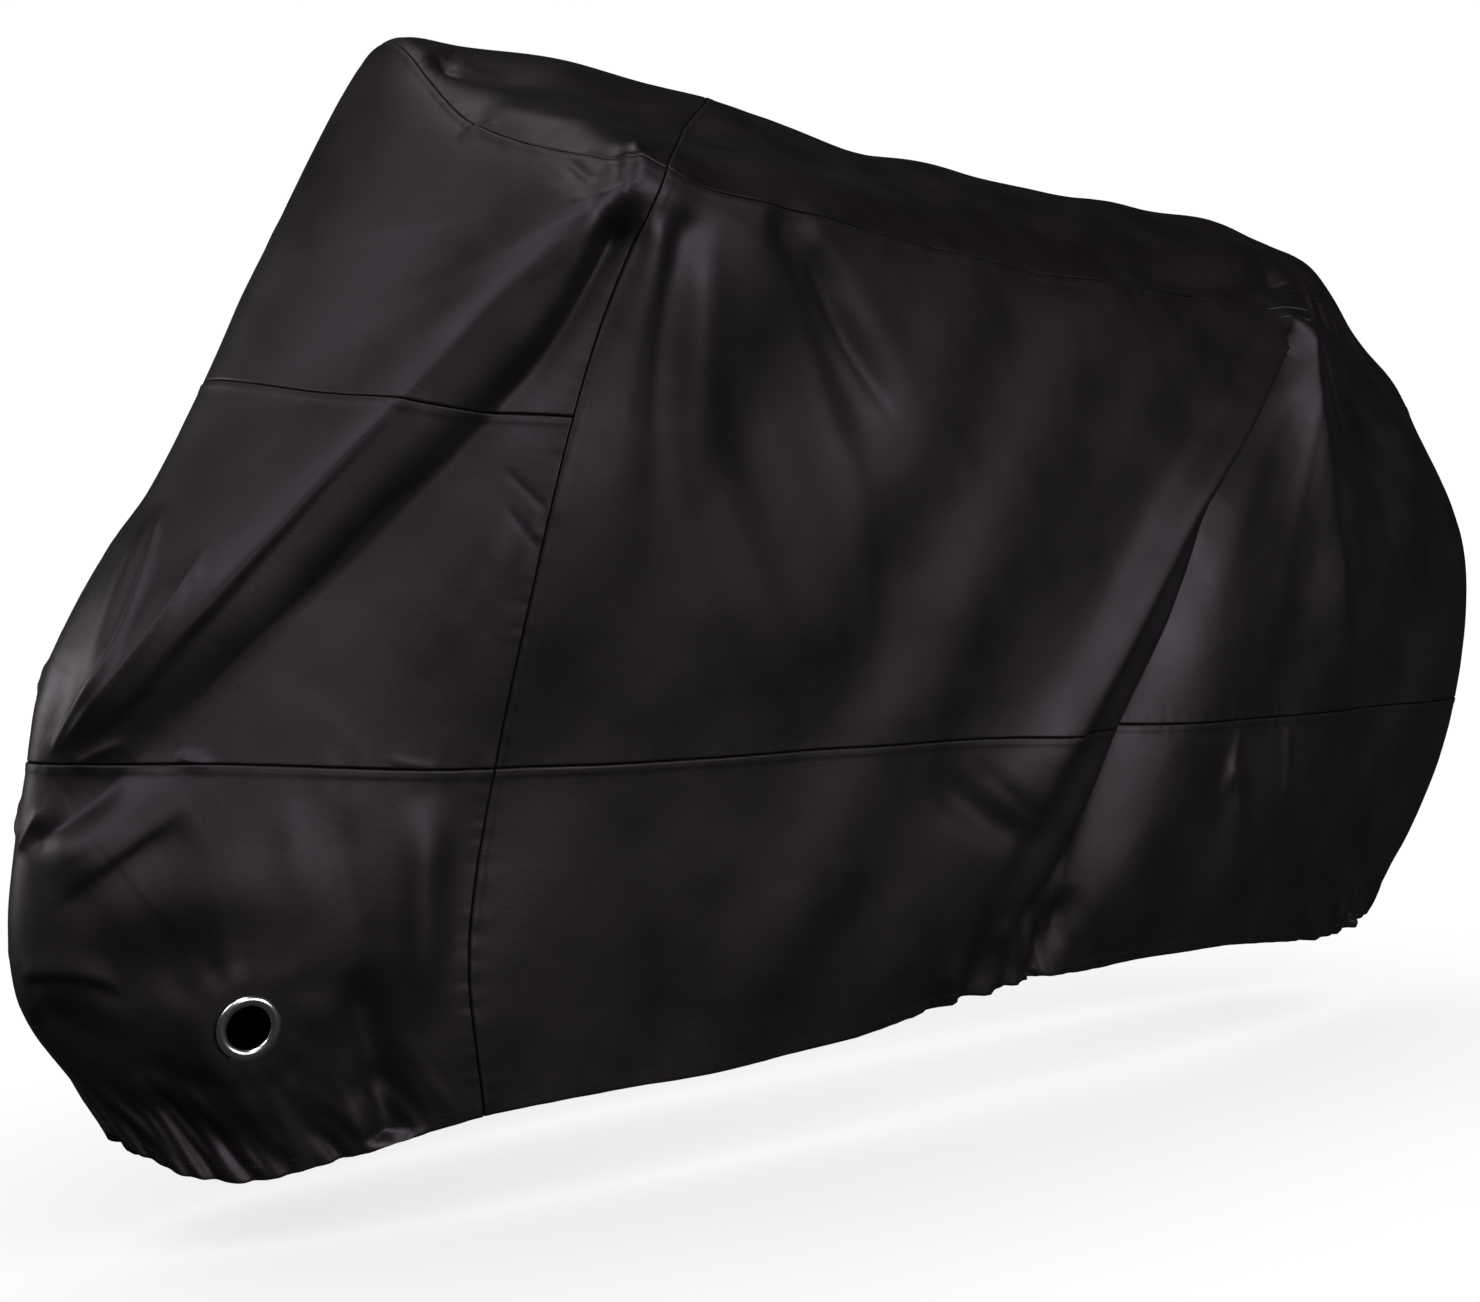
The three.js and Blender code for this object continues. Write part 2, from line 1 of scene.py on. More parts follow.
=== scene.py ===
# %% [markdown]
# # A motorcycle cover
# The real object is a loose, fitted cover of black coated polyester. Seven panels are sewn together, an
# elastic gathers the lower edge, and two metal eyelets sit low at the front. This lesson dresses a
# plain, faceted model of it, which is loaded first and never moved: each faceted panel is replaced by a
# fine sheet that hangs in the same folds. The finished cover has to stay within a few centimetres of
# it.

# %% Load the faceted model
import math
from collections import namedtuple

import bmesh
import bpy
import numpy as np
from mathutils import Matrix, Vector


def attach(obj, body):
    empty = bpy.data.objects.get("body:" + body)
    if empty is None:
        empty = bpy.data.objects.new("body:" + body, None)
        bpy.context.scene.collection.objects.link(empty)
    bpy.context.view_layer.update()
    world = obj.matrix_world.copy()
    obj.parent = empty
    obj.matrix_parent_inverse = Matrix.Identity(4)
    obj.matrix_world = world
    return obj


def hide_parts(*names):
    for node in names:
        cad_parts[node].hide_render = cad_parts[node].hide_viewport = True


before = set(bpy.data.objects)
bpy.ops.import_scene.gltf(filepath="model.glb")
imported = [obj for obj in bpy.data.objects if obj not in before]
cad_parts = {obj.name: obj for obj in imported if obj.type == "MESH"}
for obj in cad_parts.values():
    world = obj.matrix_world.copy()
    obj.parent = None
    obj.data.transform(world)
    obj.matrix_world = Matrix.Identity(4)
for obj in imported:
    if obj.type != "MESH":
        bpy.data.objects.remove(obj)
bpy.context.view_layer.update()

print("nodes:", sorted(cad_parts))

# %% [markdown]
# ## Camera and floor
# The photograph was taken from a low tripod in front and to the left, a little above the height of the
# waist seam. A real lens is described by its focal length and the width of the sensor, so the focal
# length that was measured in pixels is turned into millimetres. The floor is a wide, plain sheet.

# %% Place the camera
PHOTO_WIDTH = 1480
FOCAL_PIXELS = 2300
HORIZON_PIXELS = 116  # the horizon lies this far above the middle of the picture
SENSOR_WIDTH = 36.0
CAMERA_PLACE = Vector((-2.1686, -2.134, -0.4614))
LOOK_ALONG = Vector((0.654, 0.7565))
FLOOR_Z = -1.184
FLOOR_RADIUS = 60.0
VIEW_LIMIT = 200

scene = bpy.context.scene


def new_object(name, data):
    """An object made of the given data and put into the scene."""
    made = bpy.data.objects.new(name, data)
    scene.collection.objects.link(made)
    return made


lens = bpy.data.cameras.new("photo_camera")
lens.sensor_fit = "HORIZONTAL"
lens.sensor_width = SENSOR_WIDTH
lens.lens = FOCAL_PIXELS / PHOTO_WIDTH * SENSOR_WIDTH
lens.clip_end = VIEW_LIMIT
camera = new_object("photo_camera", lens)
pitch = math.atan(HORIZON_PIXELS / FOCAL_PIXELS)
sight = Vector((*(LOOK_ALONG.normalized() * math.cos(pitch)), -math.sin(pitch)))
camera.location = CAMERA_PLACE
camera.rotation_euler = sight.to_track_quat("-Z", "Y").to_euler()
scene.camera = camera
print("lens", round(lens.lens, 2), "mm")

# %% [markdown]
# ## The shape in which the cover hangs
# Cloth that hangs over something firm is a smooth skin. It could be sculpted by hand, but a few named
# measurements are easier to correct: sections from the nose to the tail, each with a point on every
# ring from the ridge down to the hem. Smooth curves run through those points in both directions, and
# the right-hand side mirrors the left. All the tables are in millimetres from a point on the ground
# under the front, as a cutter would draw them.

# %% Sections and rings
BELLY_HEIGHT = 650
LOW_HEIGHT = 272
HOLD = np.array([900.0, 0.0, 1184.0])
# The ridge is given as (x, z), the belly and the low ring as (x, y) at the heights above, and the
# crown as millimetres above the middle between ridge and shoulder.
Section = namedtuple("Section", "at ridge crown shoulder chest belly waist low hem")
SECTIONS = [
    Section("nose", (125, 1262), 4, (74, 0, 1250), (-136, 0, 882), (-274, 0), (-336, 0, 502), (-350, 0),
            (-262, 0, 126)),
    Section("cheek", (215, 1256), 26, (92, 150, 1143), (-38, 150, 856), (-146, 124), (-220, 104, 500),
            (-252, 92), (-176, 74, 74)),
    Section("cross seam", (508, 1245), 0, (215, 300, 1089), (138, 250, 842), (108, 210), (94, 172, 480),
            (74, 148), (104, 130, 108)),
    Section("front body", (790, 1204), 22, (560, 250, 1065), (500, 250, 845), (490, 232),
            (480, 200, 476), (470, 176), (470, 152, 112)),
    Section("middle", (1080, 1194), 26, (950, 208, 1044), (930, 235, 845), (930, 228), (930, 208, 472),
            (920, 190), (900, 154, 146)),
    Section("hip", (1380, 1186), 20, (1280, 180, 1048), (1290, 200, 845), (1300, 200), (1300, 190, 468),
            (1300, 174), (1290, 148, 148)),
    Section("corner", (1610, 1166), 12, (1552, 128, 1074), (1604, 154, 845), (1625, 162),
            (1632, 158, 465), (1622, 144), (1620, 114, 122)),
    Section("quarter", (1735, 1142), 6, (1835, 66, 962), (1960, 88, 832), (2050, 92), (2020, 90, 462),
            (1925, 84), (1812, 72, 132)),
    Section("tail", (1790, 1092), 4, (2006, 0, 922), (2070, 0, 820), (2118, 0), (2084, 0, 460),
            (1988, 0), (1868, 0, 140)),
]
RINGS = ["ridge", "crown", "shoulder", "chest", "belly", "waist", "low", "hem"]
CROSS_SEAM = 2
TAIL = len(SECTIONS) - 1
SHOULDER, CHEST, WAIST, HEM = 2, 3, 5, 7


def section_points(row):
    """The points of one section from the ridge to the hem."""
    ridge = np.array([row.ridge[0], 0, row.ridge[1]], float)
    crown = (ridge + row.shoulder) / 2 + [0, 0, row.crown]
    return np.array([ridge, crown, row.shoulder, row.chest, (*row.belly, BELLY_HEIGHT), row.waist,
                     (*row.low, LOW_HEIGHT), row.hem], float)


MIRROR = np.array([1.0, -1.0, 1.0])
net = np.array([section_points(row) for row in SECTIONS])
net = np.concatenate([net[1:2] * MIRROR, net, net[-2:-1] * MIRROR])
print("sections", len(SECTIONS), "rings", len(RINGS))

# %% Smooth curves through the net
SHORTEST_KNOT = 1e-3


def through_points(p0, p1, p2, p3, part):
    """A smooth curve from p1 to p2, with knots spaced by the root of the distance."""
    def knot(a, b):
        return np.maximum(np.sqrt(np.linalg.norm(a - b, axis=-1)), SHORTEST_KNOT)

    t1 = knot(p0, p1)
    t2 = t1 + knot(p1, p2)
    t3 = t2 + knot(p2, p3)
    t = t1 + (t2 - t1) * part

    def mix(a, b, ta, tb):
        return a + (b - a) * ((t - ta) / (tb - ta))[..., None]

    a1, a2, a3 = mix(p0, p1, 0, t1), mix(p1, p2, t1, t2), mix(p2, p3, t2, t3)
    return mix(mix(a1, a2, 0, t2), mix(a2, a3, t1, t3), t1, t2)


def drape(station, level):
    """The undisturbed skin. station counts sections from the nose, positive on the left and negative on
    the right, and level counts rings down from the ridge. Past an edge it goes on on the other side."""
    station, level = np.broadcast_arrays(np.asarray(station, float), np.asarray(level, float))
    around = np.where(level < 0, -station, station)
    around = np.where(around > TAIL, around - 2 * TAIL, around)
    around = np.where(around < -TAIL, around + 2 * TAIL, around)
    side = np.where((around > 0) | ((around == 0) & (station > 0)), -1.0, 1.0)
    around, down = np.abs(around), np.minimum(np.abs(level), HEM)
    first = np.minimum(around.astype(int), TAIL - 1)
    part = (around - first)[:, None]
    rings = through_points(net[first], net[first + 1], net[first + 2], net[first + 3], part)
    above = rings[:, 1:2] * MIRROR
    below = 2 * rings[:, HEM:] - rings[:, HEM - 1:HEM]
    column = np.concatenate([above, rings, below], axis=1)
    first = np.minimum(down.astype(int), HEM - 1)
    each = np.arange(len(first))
    p = through_points(*(column[each, first + i] for i in range(4)), down - first)
    p[:, 1] *= side
    return p


# %% Which way the cloth faces
SLOPE_STEP = 0.02
POLE_STEP = 0.1


def unit(v):
    return v / np.linalg.norm(v, axis=-1, keepdims=True)


def outward(station, level):
    """The outward direction of the undisturbed skin."""
    station, level = np.broadcast_arrays(np.asarray(station, float), np.asarray(level, float))
    step = SLOPE_STEP
    low = np.where(level + step > HEM, HEM - step, level)
    sideways = drape(station + step, low) - drape(station - step, low)
    down = drape(station, low + step) - drape(station, low - step)
    facing = np.cross(down, sideways)
    size = np.abs((station + TAIL) % (2 * TAIL) - TAIL)
    pole = (np.abs(level) < step) & ((size < step) | (size > TAIL - step))
    if pole.any():
        inner = np.where(size[pole] < step, POLE_STEP, TAIL - POLE_STEP)
        facing[pole] = outward(inner, POLE_STEP) + outward(-inner, POLE_STEP)
    return unit(facing)


probe = drape([0.0, 2.0, 8.0], [0.0, 2.0, 4.0])
print("nose, peak and tail in mm:", probe.round(0).tolist())

# %% [markdown]
# ## Folds
# Cloth that is pulled from a high point falls in straight folds that fan out from it. Each fold here is
# one row: its name, a smooth curve over the skin through three or more places, given by section and
# ring, how far it stands out or sinks in, its half width at both ends, and how much of its length it
# needs to grow and to fade. A fold could be drawn with a sculpting brush, but a row can be moved by
# changing a number. The first table holds the main folds. The faceted model has nearly all of them, a
# little shallower, because thin cloth shows its folds more sharply than a coarse solid can.

# %% Main folds
STEP_WIDTH = 2.4
Fold = namedtuple("Fold", "what line lift width fade drop step point sides",
                  defaults=(0, STEP_WIDTH, 2, (1, 1)))
FOLDS = [
    Fold("sweep ridge", [(1.86, 2.05), (0.86, 3.62), (0.3, 5.2)], 19, (26, 48), (0.08, 0.35),
         sides=(0.95, 1.9)),
    Fold("sweep trough", [(1.87, 2.14), (1.87, 2.37), (1.83, 2.61), (1.65, 2.99), (1.46, 3.38),
         (1.24, 3.91), (0.99, 4.59), (0.62, 5.09), (0.3, 5.3)], -25, (8, 40), (0.12, 0.15),
         sides=(2.7, 1.1)),
    Fold("under the sweep", [(1.95, 2.9), (1.72, 3.9), (1.3, 5.2)], 3, (30, 70), (0.4, 0.5)),
    Fold("peak tuck", [(1.78, 1.75), (1.84, 1.95), (1.9, 2.25)], 9, (12, 16), (0.3, 0.3)),
    Fold("side peak", [(1.92, 1.9), (1.97, 2.05), (2.05, 2.3)], 12, (34, 40), (0.3, 0.4)),
    Fold("nose crease", [(0.15, 3.5), (0.33, 4.2), (0.38, 4.95)], 7, (14, 16), (0.2, 0.3)),
    Fold("nose second crease", [(0.62, 3.7), (0.5, 4.35), (0.35, 5.0)], 7, (14, 16), (0.2, 0.3)),
    Fold("fan ridge by the seam", [(2.05, 2.2), (2.06, 2.9), (2.08, 4.2)], 5, (22, 46), (0.1, 0.5)),
    Fold("fan trough", [(2.16, 2.1), (2.32, 3.0), (2.4, 4.2)], -5, (22, 60), (0.1, 0.5)),
    Fold("fan long ridge", [(2.24, 2.15), (2.62, 3.5), (3.05, 4.95)], 7, (24, 50), (0.15, 0.3)),
    Fold("middle trough", [(2.46, 2.05), (2.88, 2.52), (3.3, 3.3)], -9, (20, 34), (0.15, 0.45),
         sides=(1.8, 0.9)),
    Fold("middle ridge", [(2.62, 2.05), (3.05, 2.5), (3.5, 3.3)], 5, (26, 44), (0.15, 0.45)),
    Fold("flank hollow", [(3.2, 3.2), (3.3, 4.1), (3.4, 4.9)], -8, (70, 90), (0.4, 0.4)),
    Fold("tail ridge", [(5.62, 2.33), (5.05, 2.84), (4.6, 3.5), (4.24, 4.4), (3.96, 5.2), (3.72, 6.1)],
         24, (14, 40), (0.05, 0.25), sides=(0.7, 1.7)),
    Fold("tail trough", [(5.73, 2.28), (5.28, 2.69), (4.86, 3.38), (4.62, 4.28), (4.33, 5.18),
         (4.06, 6.1), (3.9, 6.8)], -26, (10, 32), (0.05, 0.12), sides=(2.8, 0.7)),
    Fold("tail panel", [(5.8, 2.5), (5.35, 4.0), (4.9, 5.6)], 3, (24, 80), (0.3, 0.5)),
    Fold("corner ridge", [(5.86, 2.25), (5.76, 3.3), (6.0, 5.4)], 24, (20, 44), (0.06, 0.35),
         sides=(0.75, 2.4)),
    Fold("corner hollow", [(6.2, 2.3), (6.3, 3.2), (6.4, 5.0)], -12, (30, 60), (0.15, 0.5),
         sides=(2.0, 0.8)),
    Fold("hollow by the tail seam", [(4.0, 1.8), (4.9, 1.8), (5.85, 1.86)], -20, (22, 20), (0.4, 0.1),
         sides=(1.3, 0.9)),
    Fold("bulge over the tail seam", [(4.3, 1.42), (5.0, 1.32), (5.8, 1.4)], 7, (22, 18), (0.4, 0.15),
         sides=(1.7, 0.9)),
    Fold("hollow behind the apex", [(0.45, 1.4), (1.0, 1.05), (1.6, 0.75)], -14, (24, 40), (0.2, 0.4)),
    Fold("brow", [(0.95, 1.9), (1.35, 1.72), (1.75, 1.7)], 7, (26, 30), (0.3, 0.3)),
    Fold("low front fold", [(0.34, 5.5), (0.7, 5.27), (1.15, 4.98)], 11, (22, 34), (0.4, 0.45),
         sides=(1.0, 1.5)),
    Fold("low front hollow", [(0.55, 5.95), (0.95, 5.85), (1.3, 5.8)], -8, (34, 44), (0.3, 0.4)),
    Fold("hem hollow", [(0.65, 6.5), (0.95, 6.72), (1.25, 6.9)], -14, (26, 30), (0.3, 0.3)),
    Fold("front pleat", [(1.78, 5.1), (1.84, 5.7), (1.88, 6.4)], 11, (26, 30), (0.3, 0.4)),
    Fold("front pleat hollow", [(1.62, 5.9), (1.68, 6.4), (1.66, 7.0)], -12, (24, 22), (0.3, 0.05)),
    Fold("skirt curl", [(3.5, 5.08), (3.72, 5.48), (4.05, 5.72)], -9, (26, 22), (0.3, 0.4)),
    Fold("skirt gather", [(3.85, 6.2), (3.95, 6.6), (4.0, 7.0)], 12, (18, 24), (0.4, 0.02)),
    Fold("skirt gather hollow", [(4.2, 6.0), (4.17, 6.5), (4.1, 7.0)], -12, (22, 20), (0.4, 0.02)),
    Fold("rear skirt fold", [(5.05, 5.15), (5.1, 5.6), (5.15, 6.1)], 8, (18, 26), (0.3, 0.5)),
    Fold("rear hem hollow", [(6.1, 5.9), (6.35, 6.4), (6.5, 6.95)], -13, (26, 20), (0.3, 0.05)),
]
FAR_SHIFT = {"section": 0.06, "ring": -0.05, "lift": 0.85}
FOLD_REACH = 2.6  # a fold ends this many half widths from its line
FOLD_EDGE = 0.4  # and dies out over this share of that reach
FOLD_STEPS = 16
WAVE_TURN = 60
WAVES = [
    {"along": 530, "down": 760, "phase": 0.4, "lift": 2.6},
    {"along": -310, "down": 430, "phase": 2.1, "lift": 2.0},
    {"along": 205, "down": -340, "phase": 4.4, "lift": 1.2},
]

# %% How a fold moves the cloth


def smooth(v):
    return v * v * (3 - 2 * v)


def curve_through(places, steps):
    """A smooth curve through all places of a fold, as steps + 1 points."""
    places = np.array(places, float)
    if len(places) == 3:
        t = np.linspace(0, 1, steps + 1)
        return np.stack([(1 - t) * (1 - 2 * t), 4 * t * (1 - t), t * (2 * t - 1)], axis=1) @ places
    padded = np.concatenate([2 * places[:1] - places[1:2], places, 2 * places[-1:] - places[-2:-1]])
    t = np.linspace(0, len(places) - 1, steps + 1)
    first = np.minimum(t.astype(int), len(places) - 2)
    part = (t - first)[:, None]
    a, b, c, d = (padded[first + i] for i in range(4))
    return b + part / 2 * (c - a + part * (2 * a - 5 * b + 4 * c - d + part * (3 * (b - c) + d - a)))


def fold_line(fold, far):
    """The points that a fold follows over the skin, on the left side or on the far one, and the way
    that leads across it, to its left as seen from outside."""
    station, level = curve_through(fold.line, FOLD_STEPS).T
    if far:
        station, level = -(station + FAR_SHIFT["section"]), level + FAR_SHIFT["ring"]
    line = drape(station, level)
    across = np.cross(outward(station, level)[:-1], np.diff(line, axis=0))
    return line, -across if far else across


def fold_lift(fold, p):
    """How far one row of a table moves the points of the skin outwards, on both sides."""
    total = np.zeros(len(p))
    left, right = fold.sides
    reach = FOLD_REACH * max(fold.width) * max(left, right, 1)
    for far in (False, True):
        line, across = fold_line(fold, far)
        near = np.all((p > line.min(0) - reach) & (p < line.max(0) + reach), axis=1)
        if not near.any():
            continue
        start, run = line[:-1], np.diff(line, axis=0)
        offset = p[near][:, None] - start
        part = np.clip((offset * run).sum(-1) / (run * run).sum(-1), 0, 1)
        away = np.linalg.norm(offset - part[..., None] * run, axis=-1)
        best = away.argmin(axis=1)
        each = np.arange(len(best))
        nearest = away[each, best]
        along = (best + part[each, best]) / FOLD_STEPS
        signed = nearest * np.sign((offset[each, best] * across[best]).sum(axis=1))
        width = fold.width[0] + (fold.width[1] - fold.width[0]) * along
        width = width * np.where(signed > 0, left, right)
        rise, fall = fold.fade
        fade = smooth(np.clip(along / rise, 0, 1)) * smooth(np.clip((1 - along) / fall, 0, 1))
        height = fold.lift - fold.drop * np.tanh(signed / fold.step)
        shape = np.exp(-((nearest / width) ** fold.point))
        shape *= smooth(np.clip((1 - nearest / reach) / FOLD_EDGE, 0, 1))
        total[near] += (FAR_SHIFT["lift"] if far else 1) * height * fade * shape
    return total


def wave_lift(p):
    """Slow waves of the loose cloth."""
    lift = np.zeros(len(p))
    for wave in WAVES:
        turn = 2 * math.pi * (p[:, 0] / wave["along"] + p[:, 2] / wave["down"]) + wave["phase"]
        lift += wave["lift"] * np.sin(turn + np.tanh(p[:, 1] / WAVE_TURN))
    return lift


# %% [markdown]
# The second table holds what the faceted model is too coarse for: sharp crests, small wrinkles by the
# seams and short pleats. `point` below 2 gives a fold a pointed crest, like cloth that was folded
# sharply once. `drop` makes a step: the cloth falls by twice that height from the right of the line to
# its left, which is the dark edge where one layer lies over the next, and `step` is half the width in
# which it falls. `sides` widens the left and the right flank on their own.

